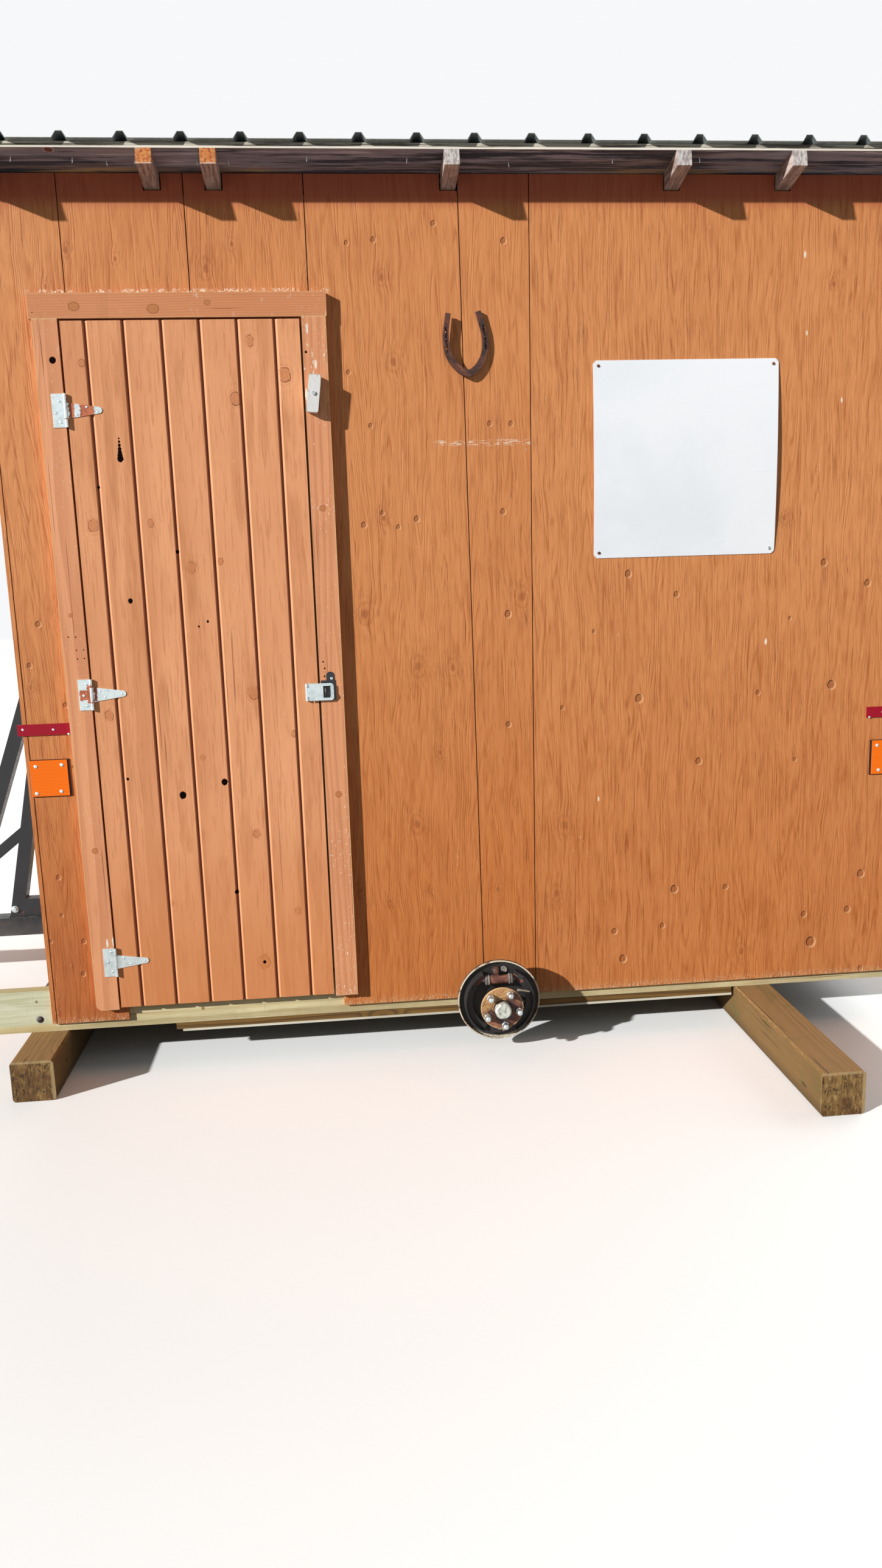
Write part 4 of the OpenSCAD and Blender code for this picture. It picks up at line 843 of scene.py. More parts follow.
def makeRoofing():
    material, where = newFinish("roof sheet", 0.46, 0.75)
    y = axes(where)[1]
    spangle = put("TexVoronoi", {"Vector": where, "Scale": 95.0}).outputs["Color"]
    flake = axes(spangle)[0]
    streak = drawn(where, (42, 1.1, 1.1), 4.0, 0.6)
    colour = layer(roofLook["sheet"], (178, 186, 184), span(flake, 0.0, 1.0, 0.0, 0.3))
    colour = layer(colour, roofLook["sheetDark"], span(streak, 0.42, 0.66, 0.0, 0.32))
    lichen = span(noise(where, 6.0, 0.7, scale=9), 0.6, 0.68)
    colour = layer(colour, (112, 112, 78), lichen, 0.55)
    rust = place(rustGroup, where, Amount=0.16, Scale=7.0)
    eave = either(span(y, sheetLow.y + 0.05, sheetLow.y + 0.002), span(y, sheetHigh.y - 0.12, sheetHigh.y))
    rusty = times(rust["Mask"], calc("MULTIPLY_ADD", eave, 0.8, 0.2))
    colour = layer(colour, rust["Colour"], rusty)
    dull = either(rusty, times(lichen, 0.8))
    feed(principled()["Metallic"], span(dull, 0.0, 1.0, 0.75, 0.0))
    paint(
        colour, span(streak, 0.3, 0.7, 0.38, 0.62), plus(times(rust["Height"], rusty), times(streak, 0.3)),
        0.0006, 0.6)
    return material


sheetLow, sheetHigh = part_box("metal_roofing")
dress("metal_roofing", makeRoofing())
print("roof ready")


# metals and plastics
metalLook = {
    "zinc": (206, 216, 216), "zincDark": (158, 170, 172), "black": (24, 25, 29), "blackWorn": (58, 59, 62),
    "stain": (190, 104, 66), "dust": (150, 144, 134)}


def facing():  # how far a surface looks upwards, 0 to 1
    normal = put("TexCoord").outputs["Normal"]
    return span(axes(normal)[2], 0.3, 0.95)


def zinc(name, seed, rust=0.12, stained=None, bright=1.0):
    material, where = newFinish(name, 0.34, 0.9)
    moved = stretch(where, (1, 1, 1), (seed, seed, 0))
    flake = axes(put("TexVoronoi", {"Vector": moved, "Scale": 260.0}).outputs["Color"])[0]
    rubbed = drawn(where, (60, 60, 900), 2.0, 0.6, move=(0, 0, seed))
    cloud = noise(where, 4.0, 0.6, scale=38)
    colour = layer(metalLook["zinc"], metalLook["zincDark"], span(flake, 0.0, 1.0, 0.0, 0.2))
    colour = layer(colour, metalLook["zincDark"], span(cloud, 0.45, 0.7, 0.0, 0.5))
    rusty = place(rustGroup, where, Amount=rust, Scale=45.0)
    colour = layer(colour, rusty["Colour"], rusty["Mask"])
    dull = rusty["Mask"]
    if stained:  # boxes of wood stain slopped over the metal: (x low, x high, z low, z high) on the wall
        x, z = axes(where)[::2]
        ragged = times(minus(noise(where, 3.0, 0.6, scale=95), 0.5), 0.016)
        parts = []
        for xLow, xHigh, zLow, zHigh in stained:
            low, high = onWall(xLow, zLow), onWall(xHigh, zHigh)
            across = within(plus(x, ragged), low.x, high.x, 0.0015)
            parts.append(times(across, within(plus(z, ragged), low.z, high.z, 0.0015)))
        worn = span(drawn(where, (90, 90, 90), 4.0, 0.7, move=(seed, 0, 0)), 0.66, 0.6)
        mask = times(either(*parts), worn)
        smear = drawn(where, (120, 120, 26), 3.0)
        colour = layer(colour, layer(metalLook["stain"], (150, 76, 46), span(smear, 0.4, 0.66)), mask)
        dull = either(dull, mask)
    feed(principled()["Metallic"], span(dull, 0.0, 1.0, 0.9 * bright, 0.0))
    paint(
        colour, plus(span(rubbed, 0.3, 0.7, 0.28, 0.46), times(dull, 0.22)),
        plus(times(rubbed, 0.4), times(rusty["Height"], dull)), 0.0002, 0.5)
    return material


leafStain = [(183, 208, 1022, 1051), (205, 222, 1012, 1066), (188, 206, 1786, 1800), (216, 226, 1822, 1868)]
strapStain = [(226, 241, 1822, 1872), (256, 296, 1824, 1866), (224, 234, 1020, 1060)]
dress("hinge_leaves", zinc("hinge leaf zinc", seed=1.0, rust=0.2, stained=leafStain))
dress("hinge_straps", zinc("hinge strap zinc", seed=2.0, stained=strapStain))
dress("hasp_leaf", zinc("hasp leaf zinc", seed=3.0, rust=0.15))
dress("hasp_strap", zinc("hasp strap zinc", seed=4.0, rust=0.1))
dress("button_screw", zinc("button screw zinc", seed=5.0, rust=0.35))


def blackSteel(name, seed, wear=0.35, rust=0.22, foot=0.0, reach=0.3, glossy=0.38):
    material, where = newFinish(name, glossy)
    moved = stretch(where, (1, 1, 1), (seed, 0, seed))
    brush = drawn(where, (35, 35, 160), 3.0, 0.6, move=(seed, 0, 0))
    cloud = noise(moved, 4.0, 0.6, scale=6)
    colour = layer(metalLook["black"], metalLook["blackWorn"], span(cloud, 0.4, 0.72, 0.0, 0.5 * wear))
    flecks = span(noise(moved, 5.0, 0.72, scale=70), 0.7 - 0.08 * wear, 0.73 - 0.08 * wear)
    colour = layer(colour, (132, 128, 122), flecks, 0.6)
    rusty = place(rustGroup, moved, Amount=rust, Scale=16.0)
    colour = layer(colour, rusty["Colour"], rusty["Mask"])
    dusty = times(facing(), span(noise(moved, 4.0, 0.65, scale=22), 0.4, 0.7), 0.32)
    splash = place(grimeGroup, where, Amount=0.28, Foot=foot, Reach=reach)["Mask"]
    colour = layer(colour, metalLook["dust"], either(dusty, splash))
    rough = either(rusty["Mask"], dusty, splash)
    raised = plus(times(brush, 0.25), times(rusty["Mask"], 0.6))
    paint(
        colour, plus(span(brush, 0.3, 0.7, glossy - 0.06, glossy + 0.1), times(rough, 0.35)),
        minus(raised, times(flecks, 0.5)), 0.0005, 0.6)
    return material


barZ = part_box("drawbar")[0].z
dress("drawbar", blackSteel(
    "drawbar paint", seed=1.0, wear=0.5, rust=0.34, foot=barZ, reach=0.2, glossy=0.44))
dress("coupler", blackSteel(
    "coupler paint", seed=2.0, wear=0.8, rust=0.5, foot=barZ, reach=0.2, glossy=0.42))
dress("mast_legs", blackSteel("mast paint", seed=3.0, wear=0.3, rust=0.2, foot=barZ, glossy=0.34))
dress("mast_bracket", blackSteel("mast bracket paint", seed=4.0, wear=0.45, rust=0.3))
dress("hasp_staple", blackSteel("staple paint", seed=5.0, wear=0.6, rust=0.12, glossy=0.4))


def rustyIron(name, seed, dark, mid, pale, level=0.5, roughness=0.78, extra=None):
    material, where = newFinish(name, roughness, 0.25)
    moved = stretch(where, (1, 1, 1), (seed, seed, 0))
    blotch = noise(moved, 6.0, 0.68, scale=34)
    fine = noise(moved, 4.0, 0.7, scale=330)
    colour = layer(dark, mid, span(blotch, level - 0.14, level + 0.06))
    colour = coats(
        colour, (pale, span(blotch, level + 0.05, level + 0.2)), (dark, span(fine, 0.5, 0.72, 0.0, 0.55)))
    height = plus(times(fine, 0.6), times(blotch, 0.8))
    shine = times(span(blotch, level, level - 0.2), 0.25)
    if extra:
        colour, shine = extra(where, colour, shine, blotch, fine)
    feed(principled()["Metallic"], shine)
    paint(colour, span(fine, 0.3, 0.7, roughness - 0.14, roughness + 0.12), height, 0.0009, 0.8)
    return material


hubLow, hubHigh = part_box("front_hub")
brakeLow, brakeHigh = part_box("brakes")
hubRim = (hubHigh.x - hubLow.x) / 2
axleAt = (hubLow + hubHigh) / 2
gearLook = {"rim out": 0.085, "rim": 0.125, "groove": 0.0345, "lip": (0.0285, 0.0315), "cap": 0.0268}
plateFace = corner.y - gearLook["rim out"]  # rim of the front backing plate
halfBack = brakeHigh.y + brakeLow.y  # mirrors the back gear onto the front


def gear(where):  # radius from the axle, and distance out from the nearer wall
    x, y, z = axes(where)
    radius = vec("LENGTH", pack(minus(x, axleAt.x), 0.0, minus(z, axleAt.z)))
    nearer = least(y, minus(halfBack, y))
    return radius, minus(plateFace, nearer)


def plateDetail(where, colour, shine, blotch, fine):
    radius, out = gear(where)
    x, z = axes(where)[::2]
    wall = gearLook["rim"]
    # the plate's floor inside the rim painted near black: painted shade inside the drum
    black = layer((15, 15, 17), (52, 46, 42), span(blotch, 0.58, 0.7))
    drumFloorShade = span(radius, wall + 0.0012, wall)
    colour = layer(colour, black, drumFloorShade, 0.96)
    upright = within(z, axleAt.z + 0.056, axleAt.z + 0.088, 0.001)
    cylinder = times(within(radius, 0.0, 0.1, 0.001), upright, span(out, -0.002, 0.0))
    colour = layer(colour, layer((92, 52, 42), (140, 92, 72), span(blotch, 0.42, 0.6)), cylinder)
    face = times(span(radius, wall, wall + 0.0012), span(radius, wall + 0.0054, wall + 0.0046))
    upper = span(plus(z, times(x, -0.3)), axleAt.z - 0.15, axleAt.z - 0.1)
    grey = layer((150, 140, 120), (96, 78, 62), span(fine, 0.42, 0.6))
    colour = layer(colour, grey, face, upper)
    rim = times(span(radius, wall + 0.001, wall + 0.0025), span(out, -0.004, -0.001))
    bright = layer((134, 104, 80), (222, 206, 178), span(blotch, 0.36, 0.5))
    colour = layer(colour, bright, rim)
    outer = span(radius, wall + 0.0056, wall + 0.0064)
    dirt = layer((34, 28, 26), (96, 70, 52), span(blotch, 0.45, 0.62))
    colour = layer(colour, dirt, outer, span(out, -0.002, -0.004))
    low = span(plus(z, times(blotch, 0.03)), axleAt.z - 0.07, axleAt.z - 0.085)
    ice = layer((232, 222, 198), (130, 116, 96), span(fine, 0.44, 0.6))
    colour = layer(colour, ice, low, span(radius, wall - 0.005, wall + 0.002), span(fine, 0.36, 0.44))
    # no shine inside the rim, so the painted shade there stays dark
    return colour, times(shine, span(radius, wall, wall + 0.002))


def hubDetail(where, colour, shine, blotch, fine):
    radius, out = gear(where)
    x, z = axes(where)[::2]
    groove, capRim = gearLook["groove"], gearLook["cap"]
    side = plus(minus(axleAt.x, x), times(minus(z, axleAt.z), 1.2))
    ochre = times(span(plus(side, times(blotch, 0.1)), 0.06, 0.11), span(fine, 0.42, 0.54))
    colour = layer(colour, (206, 160, 98), ochre, 0.85)
    # dark swath on the lower right of the flange round the cap: painted shadow of the cap and nuts, broken
    # up by noise
    castShadowNoise = noise(where, 4.0, 0.65, scale=24, distortion=1.4)
    castShadowSide = span(side, 0.02, -0.02)
    colour = layer(colour, (38, 28, 26), castShadowSide, span(radius, 0.056, 0.036), span(castShadowNoise, 0.42, 0.56), 0.85)
    ring = times(span(radius, groove, groove - 0.002), span(radius, capRim - 0.0006, capRim + 0.0004))
    colour = layer(colour, (22, 18, 18), ring, 0.9)
    lip = times(within(radius, *gearLook["lip"], 0.0005), span(side, 0.012, 0.03))
    colour = layer(colour, (204, 154, 100), lip)
    cap = times(span(radius, capRim, capRim - 0.0006), span(out, 0.079, 0.0805))
    dent = noise(where, 2.0, 0.5, scale=55, distortion=0.8)
    silver = layer((214, 216, 204), (142, 144, 132), span(dent, 0.44, 0.6))
    silver = layer(silver, (110, 108, 98), span(fine, 0.56, 0.7), 0.5)
    # the cap's side painted darker on its lower right: painted shade
    capShadeSide = times(cap, span(out, 0.0975, 0.0965), span(side, 0.02, -0.01))
    colour = layer(colour, layer(silver, (70, 62, 56), capShadeSide, 0.6), cap)
    arris = times(span(radius, hubRim - 0.003, hubRim - 0.0008), span(out, 0.06, 0.068))
    colour = layer(colour, (216, 178, 134), arris, 0.75)
    return colour, either(shine, times(cap, 0.35))


dress("brakes", rustyIron(
    "brake rust", seed=1.0, dark=(48, 34, 30), mid=(112, 78, 58), pale=(176, 148, 118), roughness=0.75,
    extra=plateDetail))
hubRust = rustyIron(
    "hub rust", seed=2.0, dark=(70, 42, 36), mid=(128, 80, 60), pale=(174, 122, 84), roughness=0.66,
    extra=hubDetail)
dress("front_hub back_hub", hubRust)
dress("axle", rustyIron(
    "axle rust", seed=3.0, dark=(44, 34, 30), mid=(92, 62, 46), pale=(140, 100, 68), level=0.52,
    roughness=0.8))
dress("horseshoe", rustyIron(
    "horseshoe rust", seed=4.0, dark=(46, 27, 22), mid=(92, 52, 36), pale=(150, 98, 68), level=0.52,
    roughness=0.7))


def reflective(name, base, deep, back, faceY, cell):
    material, where = newFinish(name, 0.4, Specular_IOR_Level=0.22)
    x, y, z = axes(where)
    across = fold(divide(plus(x, z), cell))
    down = fold(divide(minus(x, z), cell))
    level = fold(divide(z, cell * 0.7))
    prism = plus(across, down, level)
    front = span(y, faceY + 0.0026, faceY + 0.0018)
    colour = layer(deep, base, span(prism, 0.7, 2.0, 0.25, 1.0))
    faded = noise(where, 3.0, 0.6, scale=30)
    dirt = place(grimeGroup, where, Amount=0.3, Foot=-9.0, Reach=0.1)["Mask"]
    colour = layer(colour, (96, 74, 58), dirt)
    colour = layer(back, colour, front)
    paint(colour, span(faded, 0.3, 0.8, 0.36, 0.52), times(prism, front), 0.0005, 0.4)
    return material


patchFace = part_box("side_reflectors")[0].y
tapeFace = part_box("strip_reflectors")[0].y
dress("side_reflectors", reflective(
    "orange reflector", base=(250, 122, 16), deep=(226, 84, 8), back=(38, 32, 30), faceY=patchFace,
    cell=0.0032))
dress("strip_reflectors", reflective(
    "red reflector", base=(166, 6, 38), deep=(122, 2, 24), back=(104, 12, 26), faceY=tapeFace, cell=0.0018))


signLow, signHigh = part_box("sign_plate")


def makeSign():
    material, where = newFinish("sign plastic", 0.3, Coat_Weight=0.25, Coat_Roughness=0.15)
    cloud = noise(where, 4.0, 0.6, scale=3.4)
    colour = layer((238, 240, 242), (229, 233, 236), span(cloud, 0.35, 0.7))
    scratch = span(drawn(where, (9, 9, 240), 3.0, 0.6, turn=(0, 0.5, 0)), 0.68, 0.74)
    colour = layer(colour, (172, 176, 178), scratch, 0.18)
    low, high = signLow - Vector((0, 1, 0)), signHigh + Vector((0, 1, 0))
    edge = place(edgeRub, where, Low=tuple(low), High=tuple(high), Width=0.012)["Mask"]
    colour = layer(colour, (160, 158, 150), edge, 0.35)
    paint(colour, span(cloud, 0.3, 0.7, 0.24, 0.4), noise(where, 2.0, 0.5, scale=7), 0.003, 0.15)
    return material


dress("sign_plate", makeSign())


def buttonPaint(where, colour, height, grain):
    worn = span(drawn(where, (90, 90, 34), 5.0, 0.68), 0.58, 0.66)
    colour = layer(colour, (158, 132, 110), worn, 0.55)
    nicks = place(chipGroup, where, Amount=0.3, Length=1.2)["Mask"]
    return layer(colour, (110, 88, 72), nicks), minus(height, times(worn, 0.8))


dress("turn_button", board(
    "button paint", (232, 231, 227), (170, 164, 158), pitch=5.0, seed=71.0, contrast=0.26, knots=0.2,
    ring=0.003, roughness=0.62, relief=0.35, vary=0.1, rub=(*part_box("turn_button"), 0.004),
    rubTone=(140, 106, 80), extra=buttonPaint))
print("metals ready")


# small pieces
def clear():
    bpy.ops.object.select_all(action="DESELECT")


def pick(*pieces):  # selects pieces, with the last one active
    clear()
    for piece in pieces:
        piece.select_set(True)
    bpy.context.view_layer.objects.active = pieces[-1]


def drop(*patterns):
    for pattern in patterns:
        bpy.data.objects.remove(pattern)


def push(rise, factor, level):  # extrudes upwards and scales the new end
    bpy.ops.mesh.extrude_region_move(TRANSFORM_OT_translate={"value": (0, 0, rise)})
    bpy.ops.transform.resize(value=(factor, factor, 1), center_override=(0, 0, level))


def cutCross(radius, height):  # driver recess
    width = radius * 0.34
    for normal in ((1, 0, 0), (0, 1, 0)):
        for side in (-width / 2, width / 2):
            bpy.ops.mesh.bisect(plane_co=tuple(side * part for part in normal), plane_no=normal)
            bpy.ops.mesh.select_all(action="SELECT")

    def inCross(face):
        x, y, z = face.calc_center_median()
        return face.normal.z > 0.9 and z > height - 0.0001 and min(abs(x), abs(y)) < width / 2
    pickFaces(inCross)
    push(-radius * 0.5, 0.8, height)


def turned(name, profile, sides=20, cross=False):  # lathe shape up Z from (radius, height) steps
    clear()
    radius, height = profile[0]
    bpy.ops.mesh.primitive_circle_add(
        vertices=sides, radius=radius, fill_type="NGON", location=(0, 0, height))
    piece = bpy.context.object
    piece.name = name
    bpy.ops.object.mode_set(mode="EDIT")
    bpy.ops.mesh.select_all(action="SELECT")
    for nextRadius, nextHeight in profile[1:]:
        push(nextHeight - height, nextRadius / radius, nextHeight)
        radius, height = nextRadius, nextHeight
    if cross:
        cutCross(radius, height)
    bpy.ops.mesh.select_all(action="SELECT")
    bpy.ops.mesh.normals_make_consistent(inside=False)
    bpy.ops.object.mode_set(mode="OBJECT")
    return piece


def pickFaces(choose):  # face selection by place or normal
    mesh = bmesh.from_edit_mesh(bpy.context.object.data)
    for face in mesh.faces:
        face.select_set(False)
    for face in mesh.faces:
        if choose(face):
            face.select_set(True)
    mesh.select_flush_mode()
    bmesh.update_edit_mesh(bpy.context.object.data)


def spread(name, pattern, material, places, body="root"):  # copies joined as one object
    copies = []
    for index, at in enumerate(places):
        copy = bpy.data.objects.new(f"{name}_{index}", pattern.data.copy())
        bpy.context.scene.collection.objects.link(copy)
        copy.matrix_world = at
        copies.append(copy)
    pick(*reversed(copies))
    bpy.ops.object.transform_apply(location=True, rotation=True, scale=True)
    if len(copies) > 1:
        bpy.ops.object.join()
    piece = bpy.context.object
    piece.name = name
    finish(piece, body, material)


def finish(piece, body, material):
    pick(piece)
    bpy.ops.object.shade_smooth_by_angle(angle=math.radians(35))
    piece.data.materials.clear()
    piece.data.materials.append(material)
    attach(piece, body)


def spot(point, direction=(0, -1, 0), spin=0.0):  # stands a Z shape at a point along a direction
    way = Vector(direction).normalized()
    upright = way.to_track_quat("Z", "Y").to_matrix().to_4x4()
    return Matrix.Translation(point) @ upright @ Matrix.Rotation(spin, 4, "Z")


def bevelEdges(piece, width):
    pick(piece)
    bevel = piece.modifiers.new("edges", "BEVEL")
    bevel.width = width
    bevel.segments = 2
    bevel.limit_method = "ANGLE"
    bpy.ops.object.modifier_apply(modifier="edges")
    return piece


zincPlain = zinc("screw zinc", seed=6.0, rust=0.22)
zincDull = zinc("dull screw zinc", seed=15.0, rust=0.75, bright=0.6)
rustyScrew = rustyIron(
    "rusty screw", seed=7.0, dark=(52, 32, 26), mid=(112, 66, 44), pale=(164, 112, 72), roughness=0.6)
boltLook = blackSteel("bolt paint", seed=8.0, wear=0.6, rust=0.3, glossy=0.45)


# screws of the hinges, the staple plate and the sign
def panHead(name, radius):
    steps = ((1, 0), (1, 0.16), (0.9, 0.34), (0.62, 0.5))
    return turned(name, [(radius * wide, radius * high) for wide, high in steps], 18, True)


screwLook = {  # radii and the sign in metres, thicknesses in millimetres
    "hinge": 0.0043, "strap": 0.0034, "leaf": 2.0, "plate": 1.5, "sign edge": 0.016, "sign out": 0.0022}
leafSpots = [
    (202, 1873), (190, 1841), (202, 1815), (205, 1070), (195, 1036), (202, 1005), (206, 235), (195, 203),
    (206, 171)]
strapSpots = [
    (248, 1836), (276, 1856), (306, 1842), (243, 1048), (257, 1029), (306, 1037), (243, 213), (262, 192),
    (306, 200)]
plateSpots = [(931, 1059), (926, 1001)]
leafOut = (corner.y - casingLow.y) * 1000 + screwLook["leaf"]
strapOut = (corner.y - doorLow.y) * 1000 + screwLook["leaf"]
plateOut = (corner.y - casingLow.y) * 1000 + screwLook["plate"]
hingeScrew = panHead("hinge_screw", screwLook["hinge"])
strapScrew = panHead("strap_screw", screwLook["strap"])
spread(
    "leaf_screws", hingeScrew, zincPlain, [spot(onWall(x, z, leafOut), spin=x * 1.3) for x, z in leafSpots])
spread(
    "strap_screws", strapScrew, zincPlain,
    [spot(onWall(x, z, strapOut), spin=z * 0.7) for x, z in strapSpots], "door")
spread(
    "staple_screws", hingeScrew, zincPlain, [spot(onWall(x, z, plateOut), spin=0.4) for x, z in plateSpots])
edge = Vector((screwLook["sign edge"], 0, screwLook["sign edge"]))
first, last = signLow + edge, signHigh - edge
signFront = corner.y - screwLook["sign out"]
signSpots = [Vector((x, signFront, z)) for x in (first.x, last.x) for z in (first.z, last.z)]
signScrew = turned(
    "sign_screw", [(0.0052, 0), (0.0052, 0.0008), (0.0042, 0.001), (0.0038, 0.0026), (0.0024, 0.0033)], 18,
    True)
spread("sign_screws", signScrew, zincDull, [spot(point, spin=point.x) for point in signSpots])

# screws of the square reflectors and rivets of the strips, the right hand ones lower
hutLong = (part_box("right_wall")[1].x - corner.x) * 1000
rivetLook = {
    "square out": 6, "strip out": 4, "square": [(29, 826), (106, 828), (98, 747), (25, 743)],
    "strip": [(2, 939), (91, 936), (135, 921)], "drop": 55}


def bothEnds(kind):
    far = [(hutLong - x, z - rivetLook["drop"]) for x, z in rivetLook[kind]]
    return [spot(onWall(x, z, rivetLook[kind + " out"])) for x, z in rivetLook[kind] + far]


squareScrew = turned("rivet", [(0.0055, 0), (0.0053, 0.001), (0.0038, 0.0021), (0.0014, 0.0026)], 16)
spread("reflector_screws", squareScrew, zincPlain, bothEnds("square"))
stripRivet = turned("rivet", [(0.0036, 0), (0.0034, 0.0007), (0.0024, 0.0014), (0.0008, 0.0017)], 14)
spread("strip_rivets", stripRivet, zincPlain, bothEnds("strip"))
drop(hingeScrew, strapScrew, signScrew, squareScrew, stripRivet)


# acorn nuts of the hubs
def makeNuts():
    nut = turned("lug_nut", [(0.0122, 0), (0.0122, 0.0105), (0.0104, 0.0125)], 6)
    dome = turned("nut_dome", [
        (0.0096, 0.0118), (0.0098, 0.018), (0.0094, 0.022), (0.0084, 0.0255), (0.0064, 0.0285),
        (0.0034, 0.0302), (0.001, 0.0307)], 20)
    bevelEdges(nut, 0.0009)
    pick(dome, nut)
    bpy.ops.object.join()
    return nut


nutLook = {"circle": 0.053, "turn": -10, "count": 5, "face": 0.031}
nut = makeNuts()
for side, body in ((-1, "front_hub"), (1, "back_hub")):
    low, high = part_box(body)
    face = low.y + nutLook["face"] if side < 0 else high.y - nutLook["face"]
    centre = (low + high) / 2
    nutSpots = []
    for index in range(nutLook["count"]):
        angle = math.radians(nutLook["turn"]) + index * 2 * math.pi / nutLook["count"]
        across = Vector((math.cos(angle), 0, math.sin(angle))) * nutLook["circle"]
        point = Vector((centre.x, face, centre.z)) + across
        nutSpots.append(spot(point, (0, side, 0), 0.3 * index))
    spread(body + "_nuts", nut, zinc("lug nut chrome " + body, seed=9.0, rust=0.1), nutSpots, body)
drop(nut)


# small parts of the brakes
axleMiddle = (hubLow.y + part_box("back_hub")[1].y) / 2


def nearAxle(right, up, out, side):  # millimetres from the axle, and out from the wall
    front = Vector((axleAt.x + right / 1000, corner.y - out / 1000, axleAt.z + up / 1000))
    return front if side < 0 else Vector((front.x, 2 * axleMiddle - front.y, front.z))


def block(name, size, taper=1.0, edge=0.0006):  # bar along X, narrowed at its far end
    clear()
    bpy.ops.mesh.primitive_cube_add(size=0.001, location=(0, 0, 0))
    piece = bpy.context.object
    piece.name = name
    bpy.ops.object.mode_set(mode="EDIT")
    bpy.ops.mesh.select_all(action="SELECT")
    bpy.ops.transform.resize(value=size)
    pickFaces(lambda face: face.normal.x > 0.9)
    bpy.ops.transform.resize(value=(1, taper, taper), center_override=(0, 0, 0))
    bpy.ops.mesh.extrude_region_move(TRANSFORM_OT_translate={"value": (size[0] * 0.00025, 0, 0)})
    bpy.ops.transform.resize(value=(1, 0.72, 0.72), center_override=(0, 0, 0))
    bpy.ops.object.mode_set(mode="OBJECT")
    return bevelEdges(piece, edge)


brakeLook = {
    "boots": (30, 72, 90), "anchor": (-9, 99, 74), "plug": (19, 99, 74), "lever": (72, 36, 108),
    "clip": (66, 82, 108), "adjuster": (-6, -90, 100), "spring": (38, -78, 104), "pin": (82, -14, 74)}
bootGrey = rustyIron(
    "boot rubber", seed=10.0, dark=(74, 68, 64), mid=(136, 128, 120), pale=(196, 190, 178), level=0.48,
    roughness=0.8)
paleMetal = rustyIron(
    "scaled metal", seed=12.0, dark=(84, 68, 56), mid=(146, 130, 110), pale=(204, 192, 168), level=0.48,
    roughness=0.7)
boot = turned("boot", [
    (0.0152, 0), (0.0172, 0.0015), (0.0172, 0.0045), (0.0142, 0.0065), (0.0166, 0.0085),
    (0.0166, 0.0115), (0.0132, 0.0135), (0.0078, 0.0145), (0.0078, 0.02), (0.0058, 0.0215)], 24)
anchorNut = bevelEdges(turned("anchor_nut", [(0.0135, 0), (0.0135, 0.009), (0.0108, 0.0104)], 6), 0.0008)
threads = [(0.0078, 0)]
for turn in range(9):
    threads += [(0.0078, 0.0104 + turn * 0.0021), (0.0068, 0.0114 + turn * 0.0021)]
anchorBolt = turned("anchor_bolt", threads + [(0.0066, 0.0306), (0.0052, 0.032)], 18)
plug = turned(
    "plate_plug", [(0.0105, 0), (0.0105, 0.0035), (0.0094, 0.005), (0.0086, 0.005), (0.008, 0.0038)], 24)
pin = turned("hold_pin", [(0.0042, 0), (0.0042, 0.0016), (0.0032, 0.0026)], 14)
star = turned("adjuster", [
    (0.0048, -0.017), (0.0048, -0.004), (0.0092, -0.004), (0.0096, -0.003), (0.0096, 0.002),
    (0.0092, 0.003), (0.0056, 0.003), (0.0056, 0.014), (0.0042, 0.017)], 16)
lever = block("brake_lever", (34, 4, 8), 0.62)
clip = block("shoe_clip", (17, 3, 15), 0.8)
spring = turned(
    "return_spring",
    [(0.0052, 0)] + [(0.0052 - 0.0012 * (step % 2), 0.0016 * step) for step in range(1, 15)], 14)
for side, tag in ((-1, "front"), (1, "back")):
    outward = (0, side, 0)
    x, up, out = brakeLook["boots"]
    boots = [spot(nearAxle(x, up, out, side), (1, 0, 0)), spot(nearAxle(-x, up, out, side), (-1, 0, 0))]
    points = {key: nearAxle(*brakeLook[key], side) for key in brakeLook if key != "boots"}
    at = points["anchor"]
    swung = Matrix.Translation(points["lever"]) @ Matrix.Rotation(math.radians(12), 4, "Y")
    tilted = Matrix.Translation(points["clip"]) @ Matrix.Rotation(math.radians(28), 4, "Y")
    parts = (
        ("brake_boots", boot, bootGrey, boots),
        ("anchor_nut", anchorNut, rustyScrew, [spot(at, outward, 0.4)]),
        ("anchor_bolt", anchorBolt, rustyScrew, [spot(at, outward)]),
        ("plate_plug", plug, bootGrey, [spot(points["plug"], outward)]),
        ("hold_pin", pin, paleMetal, [spot(points["pin"], outward)]),
        ("adjuster", star, paleMetal, [spot(points["adjuster"], (1, 0, 0.05))]),
        ("brake_lever", lever, paleMetal, [swung]),
        ("shoe_clip", clip, boltLook, [tilted]),
        ("return_spring", spring, paleMetal, [spot(points["spring"], (-0.8, 0, -0.6))]))
    for name, piece, look, places in parts:
        spread(f"{tag}_{name}", piece, look, places)
drop(boot, anchorNut, anchorBolt, plug, pin, star, lever, clip, spring)


# bolts of the drawbar, the mast and the rails
galvanised = zinc("bolt zinc", seed=14.0, rust=0.25)
hexHead = bevelEdges(turned("hex_head", [(0.0105, 0), (0.0105, 0.0068), (0.0088, 0.0078)], 6), 0.0006)
washer = turned("bolt_washer", [(0.0138, 0), (0.0138, 0.0016), (0.0132, 0.0021)], 24)
boltLift = 0.0021  # top of a washer
boltSpots = {"mast": (-363, 128), "rail": (-42, 14.5)}  # millimetres on the wall
mastBolt = onWall(*boltSpots["mast"])
mastBolt.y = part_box("mast_legs")[0].y
barMiddle = (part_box("drawbar")[0].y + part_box("drawbar")[1].y) / 2


